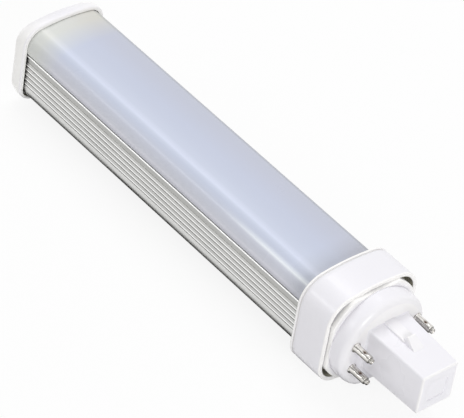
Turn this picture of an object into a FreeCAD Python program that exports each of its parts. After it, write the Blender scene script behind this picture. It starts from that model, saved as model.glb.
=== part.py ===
"""A four-pin plug-in LED lamp: ribbed tube, milky cover, collar and moulded base.

Millimetres.  The lamp lies on its back: +X runs along it to the tip of the post, +Z is
the side that shines.  The origin is under the middle of the length, at the level of
the collar's flat back.  The pins' centre line is the axis that all sections hang on.
"""
import FreeCAD, Part
import math
import os
import re

import Sketcher

os.makedirs("parts", exist_ok=True)

NEAR = 1e-4  # mm, within which an edge counts as lying on a plane
BEND_SHARE = 0.45  # of a lead's straight run, the most that one of its bends takes
HEXAGON = 6

SIZES = (
    # lengths along the lamp
    ("cap_length", 5.0, "end cap, back to rim"),
    ("tube_visible", 128.9, "tube that shows between the cap and the collar"),
    ("collar_length", 12.83, "collar, rim to rim"),
    ("neck_length", 6.93, "neck that stands out of the collar"),
    ("post_length", 22.14, "post that stands out of the neck"),
    # outline of the tube, about the axis of the pins
    ("tube_half_width", 13.78, "half the width of the tube"),
    ("tube_above", 13.48, "crown of the cover above the axis"),
    ("tube_below", 12.45, "back of the heat sink below the axis"),
    ("tube_top_corner", 5.4, "radius of the cover's shoulders"),
    ("tube_crown", 65.0, "radius of the cover's crown"),
    ("tube_bottom_corner", 5.0, "radius of the heat sink's back corners"),
    # heat sink
    ("joint_level", 5.25, "top of the heat sink's walls above the axis"),
    ("bead_radius", 0.33, "round lip along the top of each wall"),
    ("bead_height", 0.18, "how far the lip stands proud of the wall"),
    ("bead_drop", 0.63, "middle of the lip below the top of the wall"),
    ("side_wall", 1.55, "wall beside the driver, ribs included"),
    ("lip_wall", 0.85, "wall beside the light board"),
    ("floor_wall", 1.3, "back wall"),
    ("channel_depth", 2.65, "shelf below the top of the walls"),
    ("shelf_thickness", 1.4, "shelf that carries the light board"),
    ("rib_pitch", 1.77, "from one groove to the next"),
    ("rib_count", 6.0, "grooves on each side"),
    ("rib_drop", 2.5, "first groove below the top of the wall"),
    ("groove_width", 0.6, "width of a groove"),
    ("groove_depth", 0.5, "depth of a groove"),
    ("groove_flare", 0.2, "chamfer at the mouth of a groove"),
    ("port_radius", 2.1, "outer radius of a screw port"),
    ("port_bore", 2.5, "bore of a screw port"),
    ("port_sink", 0.2, "how far a port runs into the shelf and the wall"),
    ("port_slit", 1.0, "slit along a port"),
    ("catch_width", 0.65, "height of the slot that takes the cover's barb"),
    ("catch_depth", 0.3, "depth of that slot"),
    ("catch_drop", 0.5, "slot below the top of the wall"),
    # cover
    ("cover_wall", 1.1, "wall of the cover"),
    ("cover_end_gap", 0.3, "cover shorter than the heat sink at each end"),
    ("joint_gap", 0.25, "open line between the cover and the heat sink"),
    ("leg_thickness", 0.85, "leg that presses the light board down"),
    ("leg_clearance", 0.1, "play beside the leg"),
    ("leg_shoulder", 1.3, "root of the leg above the joint"),
    ("barb_height", 0.25, "barb on the leg"),
    # light board
    ("board_thickness", 1.2, "light board"),
    ("board_side_gap", 0.25, "play beside the light board"),
    ("board_end_gap", 1.5, "light board short of the heat sink's ends"),
    ("chip_length", 3.5, "light chip along the lamp"),
    ("chip_width", 2.8, "light chip across the lamp"),
    ("chip_height", 0.75, "light chip above its board"),
    ("chip_row_offset", 4.6, "each row of chips off the middle"),
    ("chip_count", 18.0, "chips in a row"),
    ("chip_end_margin", 5.0, "first chip from the end of its board"),
    ("lead_window", 5.6, "square window that the output leads come up through"),
    ("lead_window_gap", 1.3, "middle of that window behind the tray"),
    # driver tray and board
    ("tray_wall", 0.6, "wall of the insulating tray"),
    ("tray_side_gap", 0.45, "play beside the tray"),
    ("tray_port_gap", 0.5, "top of the tray below the ports"),
    ("tray_setback", 8.0, "tray behind the front of the tube"),
    ("rail_height", 0.95, "rails that lift the driver board"),
    ("rail_width", 1.0, "width of a rail"),
    ("rail_inset", 1.0, "rail in from the edge of the driver board"),
    ("driver_thickness", 1.2, "driver board"),
    ("driver_side_gap", 1.2, "driver board in from the tray's wall"),
    ("driver_end_gap", 1.2, "driver board in from the ends of the tray"),
    ("driver_tail", 6.2, "driver board behind its last capacitor"),
    # end cap
    ("cap_step", 1.45, "rim of the cap proud of the tube"),
    ("cap_clearance", 0.45, "play between the tube and the cap"),
    ("cap_floor", 1.9, "back wall of the cap"),
    ("cap_edge", 0.9, "bevel of the cap's back edge"),
    # screws
    ("screw_hole", 3.2, "clearance hole for a screw"),
    ("screw_head", 5.0, "head of a screw"),
    ("screw_length", 9.0, "screw, under its head"),
    ("screw_pan_height", 1.6, "height of a pan head"),
    ("screw_slot", 0.9, "arm of the cross in a head"),
    ("screw_slot_reach", 1.5, "arm of the cross from its middle"),
    ("screw_slot_depth", 0.8, "depth of the cross"),
    # collar
    ("collar_step", 3.06, "collar proud of the tube"),
    ("collar_step_below", 2.78, "collar's back below the tube's back"),
    ("collar_wall", 1.05, "wall of the collar"),
    ("collar_seat", 7.5, "tube inside the collar"),
    ("collar_web", 1.4, "web that the tube butts against"),
    ("collar_play", 0.1, "play round the tube in the collar"),
    ("window_half_width", 11.1, "windows in the web"),
    ("window_height", 5.7, "windows in the web"),
    ("window_low", 9.9, "bottom of the lower window below the axis"),
    ("window_high", 4.9, "bottom of the upper window above the axis"),
    # base
    ("flange_radius", 16.63, "flange disc"),
    ("flange_thickness", 1.5, "flange disc"),
    ("flange_play", 0.08, "play of the flange in the collar"),
    ("neck_radius", 15.5, "neck"),
    ("neck_flat", 13.3, "flat of the neck below the axis"),
    ("neck_edge", 1.3, "bevel of the neck's front edge"),
    ("neck_wall", 1.9, "wall of the neck"),
    ("neck_face", 1.7, "front wall of the neck"),
    ("post_half_width", 7.27, "post at its root"),
    ("post_above", 8.12, "post at its root, above the axis"),
    ("post_below", 6.11, "post at its root, below the axis"),
    ("post_taper_side", 0.69, "post narrower at its tip, each side"),
    ("post_taper_above", 0.84, "post lower at its tip"),
    ("post_corner", 1.0, "round of the post's long edges"),
    ("post_edge", 0.5, "bevel of the post's front edge"),
    ("post_wall", 1.6, "wall of the post"),
    ("panel_half_width", 3.55, "shallow square in the post's front"),
    ("panel_centre", 0.45, "middle of that square above the axis"),
    ("panel_corner", 1.6, "round of its corners"),
    ("panel_depth", 0.35, "depth of the square"),
    ("nose_half_width", 1.75, "latch nose across the post"),
    ("nose_height", 2.4, "crest of the nose above the post"),
    ("nose_reach", 12.8, "front foot of the nose from the neck"),
    ("nose_crest", 9.2, "crest of the nose from the neck"),
    ("nose_back", 7.9, "back of the nose from the neck"),
    ("nose_round", 0.5, "round of the crest"),
    ("nose_rib_half_width", 2.05, "low rib behind the nose"),
    ("nose_rib_height", 0.7, "low rib above the post"),
    ("arm_thickness", 1.2, "snap arm across the lamp"),
    ("arm_width", 2.8, "snap arm, up and down"),
    ("arm_play", 0.12, "play of an arm in its window"),
    ("arm_foot", 1.2, "foot of an arm beside its window"),
    ("hook_height", 0.7, "hook of an arm past the window's edge"),
    ("hook_length", 1.1, "hook of an arm behind the web"),
    # parts on the driver board, set back from its front end
    ("transformer_setback", 54.5, "middle of the transformer"),
    ("core_length", 12.6, "transformer core along the lamp"),
    ("core_half_width", 6.5, "transformer core across the lamp"),
    ("core_height", 5.0, "transformer core"),
    ("core_leg", 1.7, "half the middle leg of the core"),
    ("coil_length", 9.0, "coil between the core's bars"),
    ("coil_half_width", 4.7, "cheeks of the coil"),
    ("coil_height", 8.4, "cheeks of the coil"),
    ("coil_corner", 1.4, "round of the winding"),
    ("coil_play", 0.1, "play between the coil and its core"),
    ("cheek_thickness", 0.8, "cheek of the coil"),
    ("cheek_step", 0.6, "winding below the edge of its cheeks"),
    ("choke_setback", 18.5, "middle of the choke"),
    ("choke_across", 4.0, "middle of the choke beside the middle line"),
    ("choke_diameter", 7.6, "choke"),
    ("choke_height", 5.0, "choke"),
    ("input_can_setback", 26.0, "rim of the input capacitor"),
    ("input_can_diameter", 8.0, "input capacitor"),
    ("input_can_length", 14.0, "input capacitor"),
    ("output_can_setback", 62.6, "rim of the output capacitor"),
    ("output_can_diameter", 6.3, "output capacitor"),
    ("output_can_length", 7.0, "output capacitor"),
    ("can_leg_spacing", 3.5, "legs of a can"),
    ("can_leg", 0.6, "wire of a leg"),
    ("can_leg_reach", 1.5, "leg beyond the body it comes out of"),
    ("bridge_setback", 16.5, "middle of the bridge rectifier"),
    ("bridge_across", 4.8, "bridge rectifier beside the middle line"),
    ("bridge_length", 4.7, "bridge rectifier"),
    ("bridge_half_width", 2.0, "bridge rectifier"),
    ("bridge_height", 2.5, "bridge rectifier"),
    ("bridge_leg_margin", 0.8, "first leg from the end"),
    ("bridge_leg_count", 2.0, "legs on a side"),
    ("chip_package_setback", 43.8, "middle of the driver chip"),
    ("chip_package_length", 4.9, "driver chip"),
    ("chip_package_half_width", 1.95, "driver chip"),
    ("chip_package_height", 1.6, "driver chip"),
    ("chip_package_leg_margin", 0.35, "first leg from the end"),
    ("chip_package_leg_count", 4.0, "legs on a side"),
    ("package_draft", 0.2, "draft of a package's sides"),
    ("leg_metal", 0.25, "sheet of a package's leg"),
    ("leg_reach", 1.2, "foot of a package's leg"),
    ("leg_breadth", 0.4, "leg of a package along the lamp"),
    ("fuse_setback", 9.5, "middle of the fuse resistor"),
    ("fuse_length", 8.0, "fuse resistor"),
    ("fuse_diameter", 3.2, "fuse resistor"),
    # contact pins
    ("pin_spacing", 23.0, "pins across the lamp"),
    ("pin_rise", 8.0, "pins up and down"),
    ("pin_diameter", 2.4, "pin"),
    ("pin_length", 7.06, "pin in front of the neck"),
    ("pin_flange", 3.4, "flange of a pin"),
    ("pin_flange_thickness", 0.5, "flange of a pin"),
    ("pin_nub_diameter", 1.7, "nub at the tip of a pin"),
    ("pin_nub_length", 0.9, "nub at the tip of a pin"),
    ("pin_shoulder", 0.3, "taper from the pin to its nub"),
    ("pin_tail", 0.5, "pin behind the neck's front wall"),
    ("dimple_setback", 3.6, "crimp from the neck"),
    ("dimple_half_length", 0.45, "crimp along the pin"),
    ("dimple_depth", 0.3, "crimp into the pin"),
    # leads
    ("lead_diameter", 1.2, "insulated lead"),
    ("lead_play", 0.1, "bore of a pin over its lead"),
    ("lead_in_pin", 1.5, "bottom of a pin's bore in front of the neck"),
    ("lead_bend", 2.9, "input lead behind the neck's wall before it turns in"),
    ("lead_gather", 1.0, "where the input leads gather, ahead of the flange's back"),
    ("lane_inner", 1.2, "inner leads off the middle"),
    ("lane_outer", 3.6, "outer leads off the middle"),
    ("lane_upper", 5.6, "leads of the upper pins below the axis"),
    ("lane_lower", 7.0, "leads of the lower pins below the axis"),
    ("lead_landing", 1.0, "where a lead meets its board, from the end of the board"),
    ("lead_pad", 5.0, "soldered end of a lead, from the end of its board"),
)
NAMES = {name for name, _, _ in SIZES}

PLACES = {
    # stations along the lamp
    "overall": "cap_length + tube_visible + collar_length + neck_length + post_length",
    "cap_rear": "0 - overall / 2",
    "cap_front": "cap_rear + cap_length",
    "collar_rear": "cap_front + tube_visible",
    "collar_front": "collar_rear + collar_length",
    "neck_front": "collar_front + neck_length",
    "post_front": "neck_front + post_length",
    "tube_rear": "cap_rear + cap_floor",
    "tube_front": "collar_rear + collar_seat",
    "tube_length": "tube_front - tube_rear",
    "web_front": "tube_front + collar_web",
    "flange_rear": "collar_front - flange_thickness",
    "board_rear": "tube_rear + board_end_gap",
    "board_length": "tube_length - 2 * board_end_gap",
    "transformer_middle": "driver_front - transformer_setback",
    "lead_rise": "tray_rear - lead_window_gap",
    "tray_front": "tube_front - tray_setback",
    "tray_rear": "driver_rear - driver_end_gap",
    "tray_length": "tray_front - tray_rear",
    "driver_front": "tray_front - driver_end_gap",
    "driver_rear": "driver_front - output_can_setback - output_can_length - driver_tail",
    # half widths
    "sink_half": "tube_half_width - bead_height",
    "chamber_half": "sink_half - side_wall",
    "channel_half": "sink_half - lip_wall",
    "tray_half": "chamber_half - tray_side_gap",
    "tray_inner": "tray_half - tray_wall",
    "driver_half": "tray_inner - driver_side_gap",
    "port_across": "chamber_half - port_radius + port_sink",
    # levels about the axis of the pins
    "axis_level": "tube_below + collar_step_below",
    "shelf_top": "joint_level - channel_depth",
    "shelf_under": "shelf_top - shelf_thickness",
    "board_top": "shelf_top + board_thickness",
    "port_level": "shelf_under - port_radius + port_sink",
    "chamber_floor": "floor_wall - tube_below",
    "tray_floor": "chamber_floor + tray_wall",
    "tray_top": "port_level - port_radius - tray_port_gap",
    "driver_under": "tray_floor + rail_height",
    "driver_top": "driver_under + driver_thickness",
    "lower_window": "window_height / 2 - window_low",
    "upper_window": "window_height / 2 + window_high",
}

doc = FreeCAD.newDocument("Lamp")
sheet = doc.addObject("Spreadsheet::Sheet", "Sizes")
for row_number, (size_name, size_value, size_note) in enumerate(SIZES, start=1):
    sheet.set(f"A{row_number}", str(size_value))
    sheet.setAlias(f"A{row_number}", size_name)
    sheet.set(f"B{row_number}", size_note)
doc.recompute()


def formula(text):
    """Write sizes and places out as a formula on the sheet's cells."""
    def cell(match):
        word = match.group(0)
        if word in PLACES:
            return "(" + formula(PLACES[word]) + ")"
        return "Sizes." + word if word in NAMES else word
    return re.sub(r"[a-z][a-z_]*", cell, str(text))


def value(text):
    """The number that a formula gives now."""
    return float(sheet.evalExpression(formula(text)))


def new_body(label):
    """A body of its own for one piece."""
    body = doc.addObject("PartDesign::Body", label)
    body.Label = label
    return body


def origin(body, role):
    """An origin plane or axis of the body."""
    return [item for item in body.Origin.OriginFeatures if item.Role == role][0]


def sketch_on(body, name, role, across="0", up="0", along="0"):
    """A sketch on an origin plane of its body, moved in the plane and off it."""
    sketch = body.newObject("Sketcher::SketchObject", name)
    sketch.AttachmentSupport = [(origin(body, role), "")]
    sketch.MapMode = "FlatFace"
    for letter, shift in (("x", across), ("y", up), ("z", along)):
        sketch.setExpression(f"AttachmentOffset.Base.{letter}", formula(shift))
    return sketch


def section(body, name, station, across="0", up="0"):
    """A cross-section of the lamp at a station, measured from the axis of the pins."""
    return sketch_on(body, name, "YZ_Plane", across, f"axis_level + ({up})", station)


def hold(sketch, kind, *where, size=None):
    """Add one constraint, bound to a formula where it has a size."""
    if size is None:
        return sketch.addConstraint(Sketcher.Constraint(kind, *where))
    number = sketch.addConstraint(Sketcher.Constraint(kind, *where, value(size)))
    sketch.setExpression(f"Constraints[{number}]", formula(size))
    return number


def hold_point(sketch, edge, end, across, up):
    """Place one point of a sketch from its origin."""
    hold(sketch, "DistanceX", -1, 1, edge, end, size=across)
    hold(sketch, "DistanceY", -1, 1, edge, end, size=up)


def line(sketch, start, end):
    """A straight edge between two numbered points."""
    return sketch.addGeometry(Part.LineSegment(FreeCAD.Vector(*start, 0), FreeCAD.Vector(*end, 0)))


def circle(sketch, across, up, radius):
    """A full circle placed from the origin of the sketch."""
    centre = FreeCAD.Vector(value(across), value(up), 0)
    edge = sketch.addGeometry(Part.Circle(centre, FreeCAD.Vector(0, 0, 1), value(radius)))
    hold_point(sketch, edge, 3, across, up)
    hold(sketch, "Radius", edge, size=radius)


def outline(sketch, corners):
    """A closed outline through corners (across, up) or (across, up, radius)."""
    places = [FreeCAD.Vector(value(corner[0]), value(corner[1]), 0) for corner in corners]
    count = len(corners)
    starts, ends, arcs, entries = list(places), list(places), {}, {}
    for number, corner in enumerate(corners):
        if len(corner) < 3:
            continue
        radius = value(corner[2])
        here = places[number]
        back = (places[number - 1] - here).normalize()
        ahead = (places[(number + 1) % count] - here).normalize()
        half_angle = back.getAngle(ahead) / 2
        reach = radius / math.tan(half_angle)
        middle = (back + ahead).normalize() * (radius / math.sin(half_angle)) + here
        first = here + back * reach
        last = here + ahead * reach
        top = middle + (here - middle).normalize() * radius
        ends[number] = first
        starts[number] = last
        clockwise = (first - middle).cross(last - middle).z < 0
        arcs[number] = Part.Arc(last, top, first) if clockwise else Part.Arc(first, top, last)
        entries[number] = 2 if clockwise else 1
    lines = [
        sketch.addGeometry(Part.LineSegment(starts[number], ends[(number + 1) % count]))
        for number in range(count)
    ]
    for number, corner in enumerate(corners):
        before, after = lines[number - 1], lines[number]
        if number not in arcs:
            hold(sketch, "Coincident", before, 2, after, 1)
            hold_point(sketch, after, 1, corner[0], corner[1])
            continue
        arc = sketch.addGeometry(arcs[number])
        hold(sketch, "Tangent", before, 2, arc, entries[number])
        hold(sketch, "Tangent", arc, 3 - entries[number], after, 1)
        hold(sketch, "Radius", arc, size=corner[2])
        mark = sketch.addGeometry(Part.Point(places[number]), True)
        hold(sketch, "PointOnObject", mark, 1, before)
        hold(sketch, "PointOnObject", mark, 1, after)
        hold_point(sketch, mark, 1, corner[0], corner[1])


def box_outline(sketch, half_width, low, high, radius=None):
    """An upright rectangle about the middle plane, its corners round or sharp."""
    tail = () if radius is None else (radius,)
    outline(sketch, (
        (f"0 - ({half_width})", low) + tail,
        (half_width, low) + tail,
        (half_width, high) + tail,
        (f"0 - ({half_width})", high) + tail,
    ))


def arch_outline(sketch, grow, low, low_corner=None):
    """The lamp's arched outline, grown by a step, closed by a flat at its low level."""
    half, top, corner, crown = (
        f"{name} + ({grow})"
        for name in ("tube_half_width", "tube_above", "tube_top_corner", "tube_crown")
    )
    wide, peak, small, large, floor = (value(size) for size in (half, top, corner, crown, low))
    crown_centre = peak - large
    corner_across = wide - small
    corner_up = crown_centre + math.sqrt((large - small) ** 2 - corner_across ** 2)
    meet = math.atan2(corner_up - crown_centre, corner_across)
    axis = FreeCAD.Vector(0, 0, 1)

    def arc(across, up, radius, first, last):
        ring = Part.Circle(FreeCAD.Vector(across, up, 0), axis, radius)
        return sketch.addGeometry(Part.ArcOfCircle(ring, first, last))

    foot = 0 if low_corner is None else value(low_corner)
    bottom = line(sketch, (foot - wide, floor), (wide - foot, floor))
    right = line(sketch, (wide, floor + foot), (wide, corner_up))
    right_corner = arc(corner_across, corner_up, small, 0, meet)
    cap = arc(0, crown_centre, large, meet, math.pi - meet)
    left_corner = arc(-corner_across, corner_up, small, math.pi - meet, math.pi)
    left = line(sketch, (-wide, corner_up), (-wide, floor + foot))
    for before, after in ((right, right_corner), (right_corner, cap), (cap, left_corner),
                          (left_corner, left)):
        hold(sketch, "Tangent", before, 2, after, 1)
    if low_corner is None:
        hold(sketch, "Coincident", bottom, 2, right, 1)
        hold(sketch, "Coincident", left, 2, bottom, 1)
    else:
        right_foot = arc(wide - foot, floor + foot, foot, 1.5 * math.pi, 2 * math.pi)
        left_foot = arc(foot - wide, floor + foot, foot, math.pi, 1.5 * math.pi)
        for before, after in ((bottom, right_foot), (right_foot, right), (left, left_foot),
                              (left_foot, bottom)):
            hold(sketch, "Tangent", before, 2, after, 1)
        hold(sketch, "Radius", right_foot, size=low_corner)
        hold(sketch, "Radius", left_foot, size=low_corner)
    hold(sketch, "Horizontal", bottom)
    hold(sketch, "Vertical", right)
    hold(sketch, "Vertical", left)
    hold(sketch, "Radius", right_corner, size=corner)
    hold(sketch, "Radius", left_corner, size=corner)
    hold(sketch, "Radius", cap, size=crown)
    hold(sketch, "DistanceX", -1, 1, right, 1, size=half)
    hold(sketch, "DistanceX", -1, 1, left, 1, size=f"0 - ({half})")
    hold(sketch, "DistanceY", -1, 1, bottom, 1, size=low)
    hold(sketch, "PointOnObject", cap, 3, -2)
    hold(sketch, "DistanceY", -1, 1, cap, 3, size=f"({top}) - ({crown})")


def pad(body, name, sketch, length, backwards=False):
    """Raise a sketch to a length."""
    doc.recompute()
    feature = body.newObject("PartDesign::Pad", name)
    feature.Profile = sketch
    feature.Reversed = backwards
    feature.setExpression("Length", formula(length))
    return feature


def cut(body, name, sketch, length=None, backwards=False):
    """Sink a sketch to a length, or right through both ways."""
    doc.recompute()
    feature = body.newObject("PartDesign::Pocket", name)
    feature.Profile = sketch
    feature.Reversed = backwards
    if length is None:
        feature.Type = "ThroughAll"
        feature.Midplane = True
    else:
        feature.setExpression("Length", formula(length))
    return feature


def turn(body, name, sketch, kind="PartDesign::Revolution", axis="H_Axis"):
    """Turn a sketch a whole turn about one of its own axes."""
    doc.recompute()
    feature = body.newObject(kind, name)
    feature.Profile = sketch
    feature.ReferenceAxis = (sketch, [axis])
    feature.Angle = 360
    return feature


def mirror(body, name, features, role="XZ_Plane"):
    """The same features on the other side of a plane."""
    doc.recompute()
    feature = body.newObject("PartDesign::Mirrored", name)
    feature.Originals = features
    feature.MirrorPlane = (origin(body, role), [""])
    body.Tip = feature
    return feature


def row(body, name, features, role, length, count, backwards=False):
    """The same features repeated along an axis over a length."""
    doc.recompute()
    feature = body.newObject("PartDesign::LinearPattern", name)
    feature.Originals = features
    feature.Direction = (origin(body, role), [""])
    feature.Reversed = backwards
    feature.setExpression("Length", formula(length))
    feature.setExpression("Occurrences", formula(count))
    body.Tip = feature
    return feature


def dress_edges(body, name, kind, size, chosen):
    """Round or bevel the edges of the body's last feature that a test picks by their box."""
    doc.recompute()
    base = body.Tip
    names = [
        f"Edge{number}"
        for number, edge in enumerate(base.Shape.Edges, start=1)
        if chosen(edge.BoundBox)
    ]
    feature = body.newObject(f"PartDesign::{kind}", name)
    feature.Base = (base, names)
    feature.setExpression("Radius" if kind == "Fillet" else "Size", formula(size))
    return feature


def level_at(box, station):
    """Whether an edge lies wholly in the cross-section at a station."""
    place = value(station)
    return abs(box.XMin - place) < NEAR and abs(box.XMax - place) < NEAR


def both_sides(sketch, corners):
    """The same outline on the right and, turned over, on the left."""
    outline(sketch, corners)
    outline(sketch, [(f"0 - ({corner[0]})",) + corner[1:] for corner in corners])


# The heat sink is one extruded profile: ribbed walls, a shelf, and two screw ports.
def make_heat_sink():
    body = new_body("heat_sink")
    profile = section(body, "SinkProfile", "tube_rear")
    outline(profile, (
        ("0 - sink_half", "0 - tube_below", "tube_bottom_corner"),
        ("sink_half", "0 - tube_below", "tube_bottom_corner"),
        ("sink_half", "joint_level"),
        ("0 - sink_half", "joint_level"),
    ))
    pad(body, "SinkBlank", profile, "tube_length")

    bead = section(body, "BeadProfile", "tube_rear")
    for side in ("", "0 - "):
        circle(bead, f"{side}(tube_half_width - bead_radius)", "joint_level - bead_drop",
               "bead_radius")
    pad(body, "Beads", bead, "tube_length")

    chamber = section(body, "ChamberProfile", "tube_rear")
    inner_corner = "tube_bottom_corner - floor_wall"
    outline(chamber, (
        ("0 - chamber_half", "chamber_floor", inner_corner),
        ("chamber_half", "chamber_floor", inner_corner),
        ("chamber_half", "shelf_under"),
        ("0 - chamber_half", "shelf_under"),
    ))
    cut(body, "DriverChamber", chamber)

    channel = section(body, "ChannelProfile", "tube_rear")
    box_outline(channel, "channel_half", "shelf_top", "joint_level + channel_depth")
    cut(body, "BoardChannel", channel)

    catch = section(body, "CatchProfile", "tube_rear")
    box_outline(catch, "channel_half + catch_depth", "joint_level - catch_drop - catch_width",
                "joint_level - catch_drop")
    cut(body, "CoverCatches", catch)

    port = section(body, "PortProfile", "tube_rear")
    bore = section(body, "PortBoreProfile", "tube_rear")
    slit = section(body, "PortSlitProfile", "tube_rear")
    for side in ("", "0 - "):
        circle(port, f"{side}port_across", "port_level", "port_radius")
        circle(bore, f"{side}port_across", "port_level", "port_bore / 2")
    both_sides(slit, (
        ("port_across - port_slit / 2", "port_level - port_radius - port_slit"),
        ("port_across + port_slit / 2", "port_level - port_radius - port_slit"),
        ("port_across + port_slit / 2", "port_level"),
        ("port_across - port_slit / 2", "port_level"),
    ))
    pad(body, "ScrewPorts", port, "tube_length")
    cut(body, "PortBores", bore)
    cut(body, "PortSlits", slit)

    window = sketch_on(body, "LeadWindowOutline", "XY_Plane", "lead_rise",
                       along="axis_level + shelf_top")
    box_outline(window, "lead_window / 2", "0 - lead_window / 2", "lead_window / 2")
    cut(body, "LeadWindow", window, "shelf_thickness")

    groove = section(body, "GrooveProfile", "tube_rear")
    middle = "joint_level - rib_drop"
    half = "groove_width / 2"
    mouth = "groove_width / 2 + 2 * groove_flare"
    both_sides(groove, (
        ("sink_half + groove_flare", f"{middle} - ({mouth})"),
        ("sink_half + groove_flare", f"{middle} + ({mouth})"),
        ("sink_half - groove_flare", f"{middle} + {half}"),
        ("sink_half - groove_depth", f"{middle} + {half}"),
        ("sink_half - groove_depth", f"{middle} - {half}"),
        ("sink_half - groove_flare", f"{middle} - {half}"),
    ))
    first = cut(body, "RibGroove", groove)
    row(body, "RibGrooves", [first], "Z_Axis", "rib_pitch * (rib_count - 1)", "rib_count",
        backwards=True)
    return body


# The cover is an extruded arch whose barbed legs snap into the walls and hold the board.
def make_diffuser_cover():
    body = new_body("diffuser_cover")
    start = "tube_rear + cover_end_gap"
    length = "tube_length - 2 * cover_end_gap"
    low = "joint_level + joint_gap"
    outer = section(body, "ArchProfile", start)
    arch_outline(outer, "0", low)
    pad(body, "ArchBlank", outer, length)
    inner = section(body, "ArchInnerProfile", start)
    arch_outline(inner, "0 - cover_wall", "joint_level")
    cut(body, "ArchHollow", inner)

    face = "channel_half - leg_clearance"
    back = f"{face} - leg_thickness"
    root = "tube_half_width - cover_wall / 2"
    barb_top = "joint_level - catch_drop - leg_clearance / 2"
    legs = section(body, "LegProfile", start)
    both_sides(legs, (
        (back, "board_top"),
        (face, "board_top"),
        (face, f"{barb_top} - catch_width + leg_clearance"),
        (f"{face} + barb_height", barb_top),
        (face, barb_top),
        (face, low),
        (root, low),
        (root, f"{low} + leg_shoulder"),
        (back, f"{low} + leg_shoulder / 2"),
    ))
    pad(body, "Legs", legs, length)
    return body


# The light board is a plain metal-core strip with one window for the output leads.
def make_led_board():
    body = new_body("led_board")
    strip = section(body, "BoardProfile", "board_rear")
    box_outline(strip, "channel_half - board_side_gap", "shelf_top", "board_top")
    pad(body, "BoardBlank", strip, "board_length")
    window = sketch_on(body, "BoardWindowOutline", "XY_Plane", "lead_rise",
                       along="axis_level + board_top")
    box_outline(window, "lead_window / 2", "0 - lead_window / 2", "lead_window / 2")
    cut(body, "BoardWindow", window, "board_thickness")
    return body


# The light chips stand in two rows.
def make_led_chips():
    body = new_body("led_chips")
    pair = sketch_on(body, "ChipOutline", "XY_Plane", "board_rear + chip_end_margin",
                     along="axis_level + board_top")
    for middle in ("chip_row_offset", "0 - chip_row_offset"):
        outline(pair, (
            ("0 - chip_length / 2", f"{middle} - chip_width / 2"),
            ("chip_length / 2", f"{middle} - chip_width / 2"),
            ("chip_length / 2", f"{middle} + chip_width / 2"),
            ("0 - chip_length / 2", f"{middle} + chip_width / 2"),
        ))
    blocks = pad(body, "ChipPair", pair, "chip_height")
    row(body, "ChipRows", [blocks], "X_Axis", "board_length - 2 * chip_end_margin", "chip_count")
    return body


# The tray is a thin insulating trough with two rails that lift the driver board.
def make_driver_tray():
    body = new_body("driver_tray")
    corner = "tube_bottom_corner - floor_wall"
    outer = section(body, "TrayProfile", "tray_rear")
    outline(outer, (
        ("0 - tray_half", "chamber_floor", corner),
        ("tray_half", "chamber_floor", corner),
        ("tray_half", "tray_top"),
        ("0 - tray_half", "tray_top"),
    ))
    pad(body, "TrayBlank", outer, "tray_length")
    inner = section(body, "TrayInnerProfile", "tray_rear")
    outline(inner, (
        ("0 - tray_inner", "tray_floor", f"{corner} - tray_wall"),
        ("tray_inner", "tray_floor", f"{corner} - tray_wall"),
        ("tray_inner", "tray_top + tray_wall"),
        ("0 - tray_inner", "tray_top + tray_wall"),
    ))
    cut(body, "TrayHollow", inner)
    rails = section(body, "RailProfile", "tray_rear")
    both_sides(rails, (
        ("driver_half - rail_inset - rail_width", "tray_floor - tray_wall / 2"),
        ("driver_half - rail_inset", "tray_floor - tray_wall / 2"),
        ("driver_half - rail_inset", "driver_under"),
        ("driver_half - rail_inset - rail_width", "driver_under"),
    ))
    pad(body, "Rails", rails, "tray_length")
    return body


# The driver board is a plain strip on the tray's rails.
def make_driver_board():
    body = new_body("driver_board")
    strip = section(body, "DriverProfile", "driver_rear")
    box_outline(strip, "driver_half", "driver_under", "driver_top")
    pad(body, "DriverBlank", strip, "driver_front - driver_rear")
    return body


# The transformer's core is a flat closed figure of eight round the coil's middle.
def make_transformer_core():
    body = new_body("transformer_core")
    middle = "axis_level + driver_top + coil_height / 2"
    plate = sketch_on(body, "CoreOutline", "XY_Plane", "transformer_middle",
                      along=f"{middle} - core_height / 2")
    outline(plate, (
        ("0 - core_length / 2", "0 - core_half_width"),
        ("core_length / 2", "0 - core_half_width"),
        ("core_length / 2", "core_half_width"),
        ("0 - core_length / 2", "core_half_width"),
    ))
    pad(body, "CoreBlank", plate, "core_height")
    windows = sketch_on(body, "CoreWindows", "XY_Plane", "transformer_middle",
                        along=f"{middle} + core_height / 2")
    for side in ("", "0 - "):
        outline(windows, (
            ("0 - coil_length / 2 - coil_play", f"{side}core_leg"),
            ("coil_length / 2 + coil_play", f"{side}core_leg"),
            ("coil_length / 2 + coil_play", f"{side}(coil_half_width + coil_play)"),
            ("0 - coil_length / 2 - coil_play", f"{side}(coil_half_width + coil_play)"),
        ))
    cut(body, "CoreWindowCuts", windows, "core_height")
    return body


# The coil is wound between two cheeks on a square former round the core's middle leg.
def make_transformer_coil():
    body = new_body("transformer_coil")
    rear = "transformer_middle - coil_length / 2"
    low, high = "driver_top", "driver_top + coil_height"
    winding = section(body, "WindingProfile", rear)
    box_outline(winding, "coil_half_width - cheek_step", f"{low} + cheek_step",
                f"{high} - cheek_step", "coil_corner")
    pad(body, "Winding", winding, "coil_length")
    cheek = section(body, "CheekProfile", rear)
    box_outline(cheek, "coil_half_width", low, high)
    rear_cheek = pad(body, "RearCheek", cheek, "cheek_thickness")
    row(body, "Cheeks", [rear_cheek], "X_Axis", "coil_length - cheek_thickness", 2)
    middle = "driver_top + coil_height / 2"
    hole = section(body, "FormerProfile", rear)
    box_outline(hole, "core_leg", f"{middle} - core_height / 2", f"{middle} + core_height / 2")
    cut(body, "FormerHole", hole)
    return body


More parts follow.
